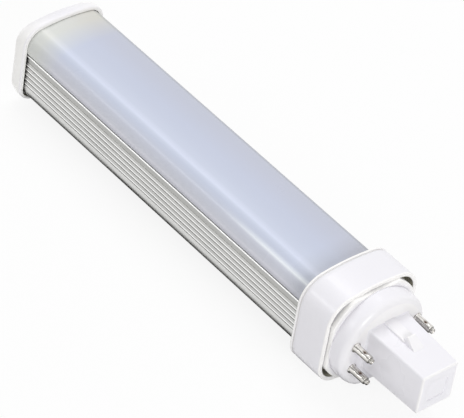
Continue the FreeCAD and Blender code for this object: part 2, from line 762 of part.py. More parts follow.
# The choke is a wound drum in a shrunk sleeve, standing on the board.
def make_filter_choke():
    body = new_body("filter_choke")
    drum = sketch_on(body, "DrumProfile", "XZ_Plane", "driver_front - choke_setback",
                     "axis_level + driver_top", "0 - choke_across")
    outline(drum, (
        ("0", "0"),
        ("choke_diameter / 2", "0"),
        ("choke_diameter / 2", "choke_height"),
        ("0", "choke_height"),
    ))
    turn(body, "Drum", drum, axis="V_Axis")
    return body


# A lying capacitor is a sleeved can with two bent legs at its rim.
def make_capacitor(label, diameter, length, setback):
    body = new_body(label)
    rim = f"driver_front - {setback}"
    centre = f"axis_level + driver_top + {diameter} / 2"
    radius = f"{diameter} / 2"
    can = sketch_on(body, "CanProfile", "XZ_Plane", rim, centre)
    outline(can, (
        ("0", "0"),
        (f"0 - {length}", "0"),
        (f"0 - {length}", radius),
        ("0", radius),
    ))
    turn(body, "Can", can)
    for number, side in enumerate(("", "0 - "), start=1):
        leg = sketch_on(body, f"LegOutline{number}", "XZ_Plane", rim, centre,
                        f"{side}(can_leg_spacing / 2) + can_leg / 2")
        outline(leg, (
            ("0 - can_leg", "0 - can_leg / 2"),
            ("can_leg_reach - can_leg", "0 - can_leg / 2"),
            ("can_leg_reach - can_leg", f"0 - {radius}"),
            ("can_leg_reach", f"0 - {radius}"),
            ("can_leg_reach", "can_leg / 2"),
            ("0 - can_leg", "can_leg / 2"),
        ))
        pad(body, f"Leg{number}", leg, "can_leg", backwards=True)
    return body


# A small moulded package stands on two rows of bent legs.
def make_package(label, prefix, across):
    body = new_body(label)
    rear = f"driver_front - {prefix}_setback - {prefix}_length / 2"
    half = f"{prefix}_half_width"
    top = f"driver_top + {prefix}_height"
    middle = f"driver_top + {prefix}_height / 2"
    moulding = section(body, "MouldingProfile", rear, across)
    outline(moulding, (
        (f"package_draft - {half}", "driver_top"),
        (f"{half} - package_draft", "driver_top"),
        (half, middle),
        (f"{half} - package_draft", top),
        (f"package_draft - {half}", top),
        (f"0 - {half}", middle),
    ))
    pad(body, "Moulding", moulding, f"{prefix}_length")
    first = f"{rear} + {prefix}_leg_margin"
    legs = section(body, "LegProfile", first, across)
    both_sides(legs, (
        (f"{half} - package_draft", f"{middle} - leg_metal / 2"),
        (f"{half} + leg_metal", f"{middle} - leg_metal / 2"),
        (f"{half} + leg_metal", "driver_top"),
        (f"{half} + leg_reach", "driver_top"),
        (f"{half} + leg_reach", "driver_top + leg_metal"),
        (f"{half} + 2 * leg_metal", "driver_top + leg_metal"),
        (f"{half} + 2 * leg_metal", f"{middle} + leg_metal / 2"),
        (f"{half} - package_draft", f"{middle} + leg_metal / 2"),
    ))
    pair = pad(body, "LegPair", legs, "leg_breadth")
    row(body, "LegRows", [pair], "X_Axis",
        f"{prefix}_length - 2 * {prefix}_leg_margin - leg_breadth", f"{prefix}_leg_count")
    return body


# The fuse resistor is a dipped barrel on two legs bent down to the board.
def make_fuse_resistor():
    body = new_body("fuse_resistor")
    station = "driver_front - fuse_setback"
    half = "fuse_length / 2"
    radius = "fuse_diameter / 2"
    barrel = section(body, "BarrelProfile", station, up=f"driver_top + {radius}")
    outline(barrel, (
        (f"0 - {half}", "0"),
        (half, "0"),
        (half, radius),
        (f"0 - {half}", radius),
    ))
    turn(body, "Barrel", barrel)
    legs = section(body, "FuseLegProfile", f"{station} - can_leg / 2", up=f"driver_top + {radius}")
    both_sides(legs, (
        (f"{half} - can_leg", "0 - can_leg / 2"),
        (f"{half} + can_leg_reach - can_leg", "0 - can_leg / 2"),
        (f"{half} + can_leg_reach - can_leg", f"0 - {radius}"),
        (f"{half} + can_leg_reach", f"0 - {radius}"),
        (f"{half} + can_leg_reach", "can_leg / 2"),
        (f"{half} - can_leg", "can_leg / 2"),
    ))
    pad(body, "FuseLegs", legs, "can_leg")
    return body


# The end cap is a shallow cup with countersunk holes through its back.
def make_end_cap():
    body = new_body("end_cap")
    blank = section(body, "CapProfile", "cap_rear")
    arch_outline(blank, "cap_step", "0 - tube_below - cap_step", "tube_bottom_corner + cap_step")
    pad(body, "CapBlank", blank, "cap_length")
    dress_edges(body, "CapBackBevel", "Chamfer", "cap_edge", lambda box: level_at(box, "cap_rear"))
    mouth = section(body, "CapMouthProfile", "cap_front")
    arch_outline(mouth, "cap_clearance", "0 - tube_below - cap_clearance",
                 "tube_bottom_corner + cap_clearance")
    cut(body, "CapMouth", mouth, "cap_length - cap_floor")
    holes = section(body, "CapHoleCentres", "cap_rear")
    for side in ("", "0 - "):
        circle(holes, f"{side}port_across", "port_level", "screw_hole / 2")
    doc.recompute()
    drilled = body.newObject("PartDesign::Hole", "CapScrewHoles")
    drilled.Profile = holes
    drilled.Reversed = True
    drilled.DepthType = "ThroughAll"
    drilled.setExpression("Diameter", formula("screw_hole"))
    drilled.HoleCutType = "Countersink"
    drilled.HoleCutCustomValues = True
    drilled.HoleCutCountersinkAngle = 90
    drilled.setExpression("HoleCutDiameter", formula("screw_head"))
    return body


# Two countersunk cross-head screws hold the end cap; their threads fill the ports.
def make_end_cap_screws():
    body = new_body("end_cap_screws")
    profile = sketch_on(body, "ScrewProfile", "XZ_Plane", "cap_rear", "axis_level + port_level",
                        "0 - port_across")
    shank = "port_bore / 2"
    outline(profile, (
        ("0", "0"),
        ("screw_length", "0"),
        ("screw_length", shank),
        (f"screw_head / 2 - {shank}", shank),
        ("0", "screw_head / 2"),
    ))
    screw = turn(body, "Screw", profile)
    cross = section(body, "CrossOutline", "cap_rear", "port_across", "port_level")
    arm, reach = "screw_slot / 2", "screw_slot_reach"
    outline(cross, (
        (arm, arm), (reach, arm), (reach, f"0 - {arm}"), (arm, f"0 - {arm}"),
        (arm, f"0 - {reach}"), (f"0 - {arm}", f"0 - {reach}"), (f"0 - {arm}", f"0 - {arm}"),
        (f"0 - {reach}", f"0 - {arm}"), (f"0 - {reach}", arm), (f"0 - {arm}", arm),
        (f"0 - {arm}", reach), (arm, reach),
    ))
    recess = cut(body, "Cross", cross, "screw_slot_depth", backwards=True)
    mirror(body, "ScrewPair", [screw, recess])
    return body


# The collar is a thin sleeve in front, thick where it grips the tube, with a web between.
def make_collar():
    body = new_body("collar")
    low = "0 - tube_below - collar_step_below"
    blank = section(body, "CollarProfile", "collar_rear")
    arch_outline(blank, "collar_step", low, "tube_bottom_corner + collar_step")
    pad(body, "CollarBlank", blank, "collar_length")
    seat = section(body, "SeatProfile", "collar_rear")
    arch_outline(seat, "collar_play", "0 - tube_below - collar_play",
                 "tube_bottom_corner + collar_play")
    cut(body, "TubeSeat", seat, "collar_seat", backwards=True)
    front = section(body, "FrontProfile", "collar_front")
    arch_outline(front, "collar_step - collar_wall", f"{low} + collar_wall",
                 "tube_bottom_corner + collar_step - collar_wall")
    cut(body, "FrontChamber", front, "collar_front - web_front")
    windows = section(body, "WindowProfile", "web_front")
    for middle in ("lower_window", "upper_window"):
        box_outline(windows, "window_half_width", f"{middle} - window_height / 2",
                    f"{middle} + window_height / 2")
    for side in ("", "0 - "):
        circle(windows, f"{side}port_across", "port_level", "screw_hole / 2")
    cut(body, "WebOpenings", windows, "collar_web")
    return body


# Two pan-head screws draw the collar's web against the tube.
def make_collar_screws():
    body = new_body("collar_screws")
    profile = sketch_on(body, "ScrewProfile", "XZ_Plane", "web_front", "axis_level + port_level",
                        "0 - port_across")
    shank = "port_bore / 2"
    outline(profile, (
        ("screw_pan_height", "0"),
        ("screw_pan_height", "screw_head / 2"),
        ("0", "screw_head / 2"),
        ("0", shank),
        ("0 - screw_length", shank),
        ("0 - screw_length", "0"),
    ))
    screw = turn(body, "Screw", profile)
    mirror(body, "ScrewPair", [screw])
    return body


def flat_round(sketch, radius, flat):
    """A circle about the axis of the pins with its bottom cut off flat."""
    reach, drop = value(radius), value(flat)
    low = math.asin(drop / reach)
    side = reach * math.cos(low)
    ring = Part.Circle(FreeCAD.Vector(0, 0, 0), FreeCAD.Vector(0, 0, 1), reach)
    arc = sketch.addGeometry(Part.ArcOfCircle(ring, -low, math.pi + low))
    chord = line(sketch, (-side, -drop), (side, -drop))
    hold(sketch, "Coincident", arc, 2, chord, 1)
    hold(sketch, "Coincident", chord, 2, arc, 1)
    hold(sketch, "Coincident", arc, 3, -1, 1)
    hold(sketch, "Radius", arc, size=radius)
    hold(sketch, "Horizontal", chord)
    hold(sketch, "DistanceY", -1, 1, chord, 1, size=f"0 - ({flat})")


# The base is one hollow moulding: flange, flatted neck, tapered post, noses and snap arms.
def make_base():
    body = new_body("base")
    grow = "collar_step - collar_wall - flange_play"
    disc = section(body, "FlangeProfile", "flange_rear")
    arch_outline(disc, grow, "0 - tube_below - collar_step_below + collar_wall + flange_play",
                 f"tube_bottom_corner + {grow}")
    pad(body, "FlangeBlank", disc, "flange_thickness")
    trim = section(body, "FlangeTrimProfile", "flange_rear")
    circle(trim, "0", "0", "flange_radius")
    circle(trim, "0", "0", "flange_radius * 2")
    cut(body, "FlangeTrim", trim)

    neck = section(body, "NeckProfile", "collar_front")
    flat_round(neck, "neck_radius", "neck_flat")
    pad(body, "Neck", neck, "neck_length")
    hollow = section(body, "NeckHollowProfile", "flange_rear")
    flat_round(hollow, "neck_radius - neck_wall", "neck_flat - neck_wall")
    cut(body, "NeckHollow", hollow, "neck_front - neck_face - flange_rear", backwards=True)
    outer = "window_half_width - arm_play"
    inner = f"{outer} - arm_thickness"
    foot = "window_half_width + arm_foot"
    for name, middle in (("Lower", "lower_window"), ("Upper", "upper_window")):
        arm = sketch_on(body, f"{name}ArmOutline", "XY_Plane",
                        along=f"axis_level + {middle} - arm_width / 2")
        for side in ("", "0 - "):
            outline(arm, (
                ("neck_front - neck_face / 2", f"{side}({inner})"),
                ("neck_front - neck_face / 2", f"{side}({foot})"),
                ("web_front", f"{side}({foot})"),
                ("web_front", f"{side}({outer})"),
                ("tube_front", f"{side}({outer})"),
                ("tube_front", f"{side}({outer} + hook_height)"),
                ("tube_front - hook_length", f"{side}({outer})"),
                ("tube_front - hook_length", f"{side}({inner})"),
            ))
        pad(body, f"{name}Arms", arm, "arm_width")

    dress_edges(body, "NeckBevel", "Chamfer", "neck_edge", lambda box: level_at(box, "neck_front"))

    side_view = sketch_on(body, "PostSideView", "XZ_Plane", "neck_front", "axis_level",
                          "0 - post_half_width")
    outline(side_view, (
        ("0", "0 - post_below"),
        ("post_length", "0 - post_below"),
        ("post_length", "post_above - post_taper_above"),
        ("0", "post_above"),
    ))
    pad(body, "Post", side_view, "2 * post_half_width")
    wedges = sketch_on(body, "PostTaper", "XY_Plane", along="axis_level")
    for side in ("", "0 - "):
        outline(wedges, (
            ("neck_front", f"{side}post_half_width"),
            ("post_front", f"{side}(post_half_width - post_taper_side)"),
            ("post_front", f"{side}(post_half_width + post_taper_side)"),
        ))
    cut(body, "PostSides", wedges)
    dress_edges(body, "PostCorners", "Fillet", "post_corner",
                lambda box: abs(box.XLength - value("post_length")) < NEAR)
    dress_edges(body, "PostBevel", "Chamfer", "post_edge", lambda box: level_at(box, "post_front"))
    panel = section(body, "PanelProfile", "post_front")
    box_outline(panel, "panel_half_width", "panel_centre - panel_half_width",
                "panel_centre + panel_half_width", "panel_corner")
    cut(body, "FrontPanel", panel, "panel_depth")

    slope = "post_taper_above / post_length"
    noses = (
        ("Upper", "post_above", "1", f"nose_reach * {slope}"),
        ("Lower", "0 - post_below", "0 - 1", "0"),
    )
    for name, face, way, fall in noses:
        ridge = sketch_on(body, f"{name}NoseRib", "XZ_Plane", "neck_front", "axis_level",
                          "0 - nose_rib_half_width")
        outline(ridge, (
            ("0", f"{face} - ({way}) * nose_rib_height"),
            ("nose_crest", f"{face} - ({way}) * nose_rib_height"),
            ("nose_crest", f"{face} + ({way}) * nose_rib_height / 2"),
            ("0", f"{face} + ({way}) * nose_rib_height"),
        ))
        pad(body, f"{name}Rib", ridge, "2 * nose_rib_half_width")
        profile = sketch_on(body, f"{name}NoseProfile", "XZ_Plane", "neck_front", "axis_level",
                            "0 - nose_half_width")
        outline(profile, (
            ("nose_back", f"{face} - ({way}) * nose_rib_height"),
            ("nose_reach", f"{face} - ({way}) * nose_rib_height"),
            ("nose_reach", f"{face} - ({way}) * ({fall})"),
            ("nose_crest", f"{face} + ({way}) * nose_height", "nose_round"),
            ("nose_back", f"{face} + ({way}) * nose_rib_height"),
        ))
        pad(body, f"{name}Nose", profile, "2 * nose_half_width")

    core = section(body, "PostHollowProfile", "flange_rear")
    box_outline(core, "post_half_width - post_taper_side - post_wall", "post_wall - post_below",
                "post_above - post_taper_above - post_wall")
    cut(body, "PostHollow", core, "post_front - post_wall - flange_rear", backwards=True)
    holes = section(body, "PinHoleProfile", "neck_front")
    for across in ("pin_spacing / 2", "0 - pin_spacing / 2"):
        for up in ("pin_rise / 2", "0 - pin_rise / 2"):
            circle(holes, across, up, "pin_diameter / 2")
    cut(body, "PinHoles", holes, "neck_face")
    return body


# A contact pin is turned; its tail has a six-sided crimp barrel, and its front a crimp notch.
def make_contact_pin(number, across, up):
    body = new_body(f"contact_pin_{number}")
    centre = f"axis_level + ({up})"
    aside = f"0 - ({across})"
    blank = sketch_on(body, "PinProfile", "XZ_Plane", "neck_front", centre, aside)
    tail = "0 - neck_face - pin_tail"
    radius = "pin_diameter / 2"
    nub = "pin_nub_diameter / 2"
    outline(blank, (
        (tail, "0"),
        ("pin_length", "0"),
        ("pin_length", nub),
        ("pin_length - pin_nub_length", nub),
        ("pin_length - pin_nub_length - pin_shoulder", radius),
        ("pin_flange_thickness", radius),
        ("pin_flange_thickness", "pin_flange / 2"),
        ("0", "pin_flange / 2"),
        ("0", radius),
        (tail, radius),
    ))
    turn(body, "PinBlank", blank)
    bore = section(body, "BoreProfile", f"neck_front + {tail}", across, up)
    lead = "(lead_diameter + lead_play) / 2"
    outline(bore, [
        (f"{lead} * sin({angle} deg)", f"{lead} * cos({angle} deg)")
        for angle in range(0, 360, 360 // HEXAGON)
    ])
    cut(body, "PinBore", bore, "lead_in_pin + neck_face + pin_tail", backwards=True)
    notch = sketch_on(body, "CrimpProfile", "XZ_Plane", "neck_front + dimple_setback",
                      f"{centre} + {radius}", aside)
    outline(notch, (
        ("0", "0 - dimple_depth"),
        ("2 * dimple_half_length", "dimple_depth"),
        ("0 - 2 * dimple_half_length", "dimple_depth"),
    ))
    cut(body, "Crimp", notch)
    return body


def lead_solid(points, diameter, longest):
    """A six-sided lead along straight runs; each corner is cut across at a limited reach."""
    ends = [FreeCAD.Vector(*point) for point in points]
    path = [ends[0]]
    for before, corner, after in zip(ends, ends[1:], ends[2:]):
        for neighbour in (before, after):
            away = neighbour - corner
            reach = min(BEND_SHARE * away.Length, longest)
            path.append(corner + away.normalize() * reach)
    path.append(ends[-1])
    side = 2 * math.pi / HEXAGON
    ring = [
        ends[0] + FreeCAD.Vector(0, math.sin(side * step), math.cos(side * step)) * (diameter / 2)
        for step in range(HEXAGON + 1)
    ]
    mitred = 1
    return Part.makePolygon(path).makePipeShell([Part.makePolygon(ring)], True, False, mitred)


def make_leads(label, routes):
    """One node of separate leads; each route is a list of (along, across, up) formulas."""
    shapes = [
        lead_solid([tuple(value(word) for word in point) for point in route],
                   value("lead_diameter"), value("lead_bend - pin_tail - lead_diameter / 2"))
        for route in routes
    ]
    leads = doc.addObject("Part::Feature", label)
    leads.Label = label
    leads.Shape = Part.makeCompound(shapes)
    leads.Placement = FreeCAD.Placement(FreeCAD.Vector(0, 0, value("axis_level")),
                                        FreeCAD.Rotation())
    return leads


# The input leads run from inside the pins through the lower window to the driver board.
def make_input_leads():
    routes = []
    soldered = "driver_top + lead_diameter / 2"
    for side in ("", "0 - "):
        for up, lane, drop in (("pin_rise / 2", "lane_inner", "lane_upper"),
                               ("0 - pin_rise / 2", "lane_outer", "lane_lower")):
            across = f"{side}pin_spacing / 2"
            inward = f"{side}{lane}"
            routes.append((
                ("neck_front + lead_in_pin", across, up),
                ("neck_front - neck_face - lead_bend", across, up),
                ("flange_rear + lead_gather", inward, f"0 - {drop}"),
                ("tray_front + lead_landing", inward, f"0 - {drop}"),
                ("driver_front - lead_landing", inward, soldered),
                ("driver_front - lead_pad", inward, soldered),
            ))
    return make_leads("input_leads", routes)


# The output leads leave the driver board, rise through the shelf and lie on the light board.
def make_output_leads():
    routes = []
    for side in ("", "0 - "):
        lane = f"{side}lane_inner"
        routes.append((
            ("driver_rear + lead_pad", lane, "driver_top + lead_diameter / 2"),
            ("lead_rise", lane, "driver_top + lead_diameter / 2"),
            ("lead_rise", lane, "board_top + lead_diameter / 2"),
            ("lead_rise - lead_pad", lane, "board_top + lead_diameter / 2"),
        ))
    return make_leads("output_leads", routes)


pieces = [
    make_end_cap(),
    make_end_cap_screws(),
    make_heat_sink(),
    make_diffuser_cover(),
    make_led_board(),
    make_led_chips(),
    make_driver_tray(),
    make_driver_board(),
    make_fuse_resistor(),
    make_package("bridge_rectifier", "bridge", "0 - bridge_across"),
    make_filter_choke(),
    make_capacitor("input_capacitor", "input_can_diameter", "input_can_length",
                   "input_can_setback"),
    make_package("driver_chip", "chip_package", "0"),
    make_transformer_core(),
    make_transformer_coil(),
    make_capacitor("output_capacitor", "output_can_diameter", "output_can_length",
                   "output_can_setback"),
    make_input_leads(),
    make_output_leads(),
    make_collar(),
    make_collar_screws(),
    make_base(),
]
corners = [(side, rise) for rise in ("", "0 - ") for side in ("", "0 - ")]
for pin_number, (side, rise) in enumerate(corners, start=1):
    pieces.append(make_contact_pin(pin_number, f"{side}pin_spacing / 2", f"{rise}pin_rise / 2"))

doc.recompute()
for item in doc.Objects:
    if set(item.State) & {"Invalid", "Error"}:
        raise RuntimeError(f"{item.Label} failed: {item.State}")
for piece in pieces:
    if piece.Shape.isNull() or not piece.Shape.isValid() or not piece.Shape.Solids:
        raise RuntimeError(f"{piece.Label} is not a sound solid")
for piece in pieces:
    piece.Shape.exportStep(f"parts/{piece.Label}.step")
    print(f"{piece.Label}: {len(piece.Shape.Solids)} solid(s), {piece.Shape.Volume:.1f} mm3")
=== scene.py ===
"""A four-pin plug-in LED lamp, lying on its back on a white table."""
import math

import bmesh
import bpy
from mathutils import Matrix, Vector
from mathutils.geometry import tessellate_polygon


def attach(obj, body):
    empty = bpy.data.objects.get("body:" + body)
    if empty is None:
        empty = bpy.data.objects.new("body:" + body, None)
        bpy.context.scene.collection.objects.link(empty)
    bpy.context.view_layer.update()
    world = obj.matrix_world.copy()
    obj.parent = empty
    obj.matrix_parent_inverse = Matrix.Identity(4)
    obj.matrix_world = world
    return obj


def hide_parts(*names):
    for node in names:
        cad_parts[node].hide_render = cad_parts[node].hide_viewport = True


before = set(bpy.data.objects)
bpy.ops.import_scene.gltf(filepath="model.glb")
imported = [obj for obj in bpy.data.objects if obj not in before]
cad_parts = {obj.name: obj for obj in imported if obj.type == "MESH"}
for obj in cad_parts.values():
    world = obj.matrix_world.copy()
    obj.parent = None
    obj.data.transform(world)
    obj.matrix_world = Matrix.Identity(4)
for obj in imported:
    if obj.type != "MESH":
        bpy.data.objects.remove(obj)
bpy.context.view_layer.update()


# ---------------------------------------------------------------------------
# Studio.  A long lens looks down on the pins' end and the ribbed side, over a
# white table under an even white sky with one large soft lamp overhead.
# ---------------------------------------------------------------------------
AIM = Vector((0.01752, -0.01955, 0.03752))
AZIMUTH, ELEVATION, ROLL = (math.radians(turn) for turn in (43.74, 40.77, 9.92))
DISTANCE = 0.9004

back = Vector((math.sin(AZIMUTH) * math.cos(ELEVATION), -math.cos(AZIMUTH) * math.cos(ELEVATION),
               math.sin(ELEVATION)))
level_right = Vector((math.cos(AZIMUTH), math.sin(AZIMUTH), 0.0))
level_up = back.cross(level_right)
right = level_right * math.cos(ROLL) + level_up * math.sin(ROLL)
up = level_up * math.cos(ROLL) - level_right * math.sin(ROLL)

lens = bpy.data.cameras.new("camera")
lens.lens = 249.75
lens.sensor_width = 36.0
lens.sensor_fit = "HORIZONTAL"
lens.clip_end = 20.0
camera = bpy.data.objects.new("camera", lens)
bpy.context.scene.collection.objects.link(camera)
camera.matrix_world = Matrix.Translation(AIM + back * DISTANCE) @ Matrix(
    (right, up, back)).transposed().to_4x4()
bpy.context.scene.camera = camera
bpy.context.scene.view_settings.view_transform = "Standard"

WHITE = (1.0, 1.0, 1.0)
TABLE_GLOW = 0.88  # share of even white in what the camera and the metal see of the table
SKY_LEVEL = 0.50   # strength of the sky as a lamp; the camera and the metal see it white


def rgba(colour):
    """A colour with full alpha."""
    return (*colour, 1.0)


def add_node(tree, kind, inputs=None, **settings):
    """A new node in a tree; each input is a value or the socket that feeds it."""
    node = tree.nodes.new(kind)
    for label, value in settings.items():
        setattr(node, label, value)
    for label, value in (inputs or {}).items():
        if isinstance(value, bpy.types.NodeSocket):
            tree.links.new(value, node.inputs[label])
        else:
            node.inputs[label].default_value = value
    return node


def principled(material):
    """The inputs of a material's Principled shader."""
    return material.node_tree.nodes["Principled BSDF"].inputs


def feed(material, label, socket):
    """Link a socket to an input of a material's Principled shader."""
    material.node_tree.links.new(socket, principled(material)[label])


def new_material(name, colour, roughness, metallic=0.0):
    """A material with one Principled shader."""
    material = bpy.data.materials.new(name)
    material.use_nodes = True
    inputs = principled(material)
    inputs["Base Color"].default_value = rgba(colour)
    inputs["Roughness"].default_value = roughness
    inputs["Metallic"].default_value = metallic
    return material


def background_rays(tree):
    """One for a ray that sees the background from the camera, or by way of metal or glass."""
    ray = add_node(tree, "ShaderNodeLightPath")
    result = ray.outputs["Is Camera Ray"]
    for label in ("Is Glossy Ray", "Is Transmission Ray"):
        result = add_node(tree, "ShaderNodeMath", {0: result, 1: ray.outputs[label]},
                          operation="MAXIMUM").outputs["Value"]
    return result


table = new_material("table white", (0.86, 0.86, 0.86), 0.7)
tree = table.node_tree
mottle = add_node(tree, "ShaderNodeTexNoise", {"Scale": 60.0})
feed(table, "Roughness", add_node(tree, "ShaderNodeMapRange", {
    "Value": mottle.outputs["Fac"], "To Min": 0.62, "To Max": 0.78,
}).outputs["Result"])
paper = add_node(tree, "ShaderNodeEmission", {"Color": rgba(WHITE), "Strength": 1.0})
share = add_node(tree, "ShaderNodeMath", {0: background_rays(tree), 1: TABLE_GLOW},
                 operation="MULTIPLY")
blend = add_node(tree, "ShaderNodeMixShader", {
    "Fac": share.outputs["Value"], 1: tree.nodes["Principled BSDF"].outputs["BSDF"],
    2: paper.outputs["Emission"],
})
tree.links.new(blend.outputs["Shader"], tree.nodes["Material Output"].inputs["Surface"])

bpy.ops.mesh.primitive_plane_add(size=8.0, location=(0.0, 0.0, -0.0002))
floor = bpy.context.object
floor.name = "table_top"
floor.data.materials.append(table)

world = bpy.data.worlds.new("studio sky")
world.use_nodes = True
bpy.context.scene.world = world
sky = world.node_tree
background = sky.nodes["Background"].inputs
background["Color"].default_value = rgba(WHITE)
brighter = add_node(sky, "ShaderNodeMapRange", {
    "Value": background_rays(sky), "To Min": SKY_LEVEL, "To Max": 1.0,
})
sky.links.new(brighter.outputs["Result"], background["Strength"])


def hang(data, placement):
    """A lamp at a placement."""
    lamp = bpy.data.objects.new(data.name, data)
    lamp.matrix_world = placement
    bpy.context.scene.collection.objects.link(lamp)
    return lamp


def soft_lamp(name, place, target, size, power):
    """A square area lamp turned towards a point."""
    data = bpy.data.lights.new(name, "AREA")
    data.shape = "SQUARE"
    data.size = size
    data.energy = power
    turn = (Vector(target) - Vector(place)).to_track_quat("-Z", "Y")
    return hang(data, Matrix.Translation(place) @ turn.to_matrix().to_4x4())


def far_lamp(name, direction, energy, angle):
    """A lamp far off in a direction, whose wide reflection runs along the tube."""
    data = bpy.data.lights.new(name, "SUN")
    data.energy = energy
    data.angle = math.radians(angle)
    return hang(data, Vector(direction).to_track_quat("Z", "Y").to_matrix().to_4x4())


overhead = soft_lamp("overhead_lamp", (-0.45, 0.35, 1.30), (0.0, 0.0, 0.0), 0.9, 9.2)
overhead.visible_glossy = False
soft_lamp("plug_end_lamp", (1.35, -0.45, 0.75), (0.06, 0.0, 0.0), 0.6, 8.0)
far_lamp("shoulder_lamp", (-0.53, -0.70, 0.46), 0.15, 10.0)
far_lamp("crown_lamp", (-0.53, 0.36, 0.77), 0.08, 8.0)

# the dark of the lamp's own contact with the table, as its metal reflects it
shade = new_material("contact shade", (0.05, 0.05, 0.045), 0.9)
bpy.ops.mesh.primitive_plane_add(size=1.0, location=(0.0, 0.0, 0.0004))
card = bpy.context.object
card.name = "contact_shade"
card.scale = (0.172, 0.032, 1.0)
card.data.materials.append(shade)
card.visible_camera = False
card.visible_diffuse = False
card.visible_transmission = False
card.visible_shadow = False


# ---------------------------------------------------------------------------
# Heat sink.  One length of drawn aluminium with clear anodising: a closed
# chamber under a shelf, two screw ports, and six grooves down each side.
# ---------------------------------------------------------------------------
MM = 0.001
AXIS = 15.23  # height of the pins' centre line, mm
TUBE_REAR, TUBE_FRONT = -86.0, 53.5
TUBE_BELOW = 12.45  # back of the tube below the axis


def arc(across, height, radius, first, last, steps):
    """Points along an arc, its ends included; angles in degrees."""
    return [
        (across + radius * math.cos(math.radians(first + (last - first) * step / steps)),
         height + radius * math.sin(math.radians(first + (last - first) * step / steps)))
        for step in range(steps + 1)
    ]


def mesh_of(vertices, faces, crease=32.0, painted_light_and_punch=None):
    """A mesh in metres from millimetres about the pins' axis, smooth but for its creases.

    The last argument is painted light: each vertex from -1, painted shade, to 1, painted highlight;
    on the pins the top of the range gives the punch mark's dark brown.
    """
    form = bmesh.new()
    layer = form.verts.layers.float.new("painted_light_and_punch")
    placed = [form.verts.new((x * MM, y * MM, (z + AXIS) * MM)) for x, y, z in vertices]
    for vertex, amount in zip(placed, painted_light_and_punch or ()):
        vertex[layer] = amount
    for face in faces:
        form.faces.new([placed[corner] for corner in face])
    bmesh.ops.remove_doubles(form, verts=form.verts, dist=1e-7)
    bmesh.ops.recalc_face_normals(form, faces=form.faces)
    mesh = bpy.data.meshes.new("form")
    form.to_mesh(mesh)
    form.free()
    mesh.polygons.foreach_set("use_smooth", [True] * len(mesh.polygons))
    mesh.set_sharp_from_angle(angle=math.radians(crease))
    return mesh


def dress(node, material):
    """Give a CAD node's own object a material."""
    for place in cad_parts[node].material_slots:
        place.material = material


def new_piece(name, mesh, material, finish, *nodes_replaced):
    """A finished piece that rides with the lamp and stands for its CAD nodes."""
    mesh.name = name
    mesh.materials.clear()
    mesh.materials.append(material)
    piece = bpy.data.objects.new(name, mesh)
    bpy.context.scene.collection.objects.link(piece)
    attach(piece, "root")
    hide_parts(*nodes_replaced)
    for node in nodes_replaced:
        dress(node, material)
    return piece


def extruded(loops, rear, front):
    """Vertices and faces of a straight extrusion; the first loop is outside, the others holes."""
    flat = [point for loop in loops for point in loop]
    count = len(flat)
    vertices = [(rear, y, z) for y, z in flat] + [(front, y, z) for y, z in flat]
    faces, start = [], 0
    for loop in loops:
        for step in range(len(loop)):
            here, ahead = start + step, start + (step + 1) % len(loop)
            faces.append((here, ahead, ahead + count, here + count))
        start += len(loop)
    for triangle in tessellate_polygon([[Vector((y, z, 0.0)) for y, z in loop] for loop in loops]):
        faces.append(triangle)
        faces.append(tuple(corner + count for corner in triangle))
    return vertices, faces


SIDE = 13.60        # outer face of the wall, from the middle plane
FOOT_ROUND = 4.82   # round of the corners to the back
WALL_TOP = 5.25
WALL_LIP = 12.75    # inner face beside the light board
# the bead's middle off the wall's face and top, and where it starts below the top
BEAD_RADIUS, BEAD_INSET, BEAD_DROP, BEAD_FOOT = 0.30, 0.15, 0.72, 1.05
REBATE_DEPTH, REBATE_HEIGHT = 0.42, 0.40
# slot for the cover's barb, below the top of the wall
CATCH_HIGH, CATCH_LOW, CATCH_DEPTH = 0.5, 1.15, 0.3
SHELF_TOP, SHELF_UNDER = 2.60, 1.20
CHAMBER_SIDE, CHAMBER_FLOOR, CHAMBER_ROUND = 12.05, -11.15, 3.7
# screw port in its boss, whose inner side and lower end are off the port's middle
PORT_ACROSS, PORT_UP, PORT_RADIUS = 10.15, -0.70, 1.25
BOSS_RADIUS, BOSS_HALF, BOSS_LOW = 2.1, 1.9, 1.0
GROOVES, GROOVE_FIRST, GROOVE_PITCH = 6, 2.44, 1.77
GROOVE_HALF, GROOVE_DEPTH, GROOVE_LIP = 0.14, 0.42, 0.10
TOP_GROOVE_DEPTH = 0.168
# height above a groove's middle where the rib's painted highlight changes, and how bright it is
# painted there
RIB_PAINTED_LIGHT = ((0.24, 0.50), (0.30, 0.9), (0.36, 1.0), (0.66, 1.0), (0.80, 0.24), (1.53, 0.22))
# painted highlights on the rib tops, the wall above and below the ribs and the foot; the two lines
# after say where the painted highlight stops
RIB_TOP_PAINTED_LIGHT, HIGH_WALL_PAINTED_LIGHT, LOW_WALL_PAINTED_LIGHT, FOOT_PAINTED_LIGHT = 0.18, 0.05, 0.5, 0.32
PAINTED_LIT_DEPTH = 0.3  # what lies deeper than this in the wall stays dull
WALL_FOOT, FOOT_TOP = -7.7, -8.0  # lower end of the lit wall and upper end of the lit foot


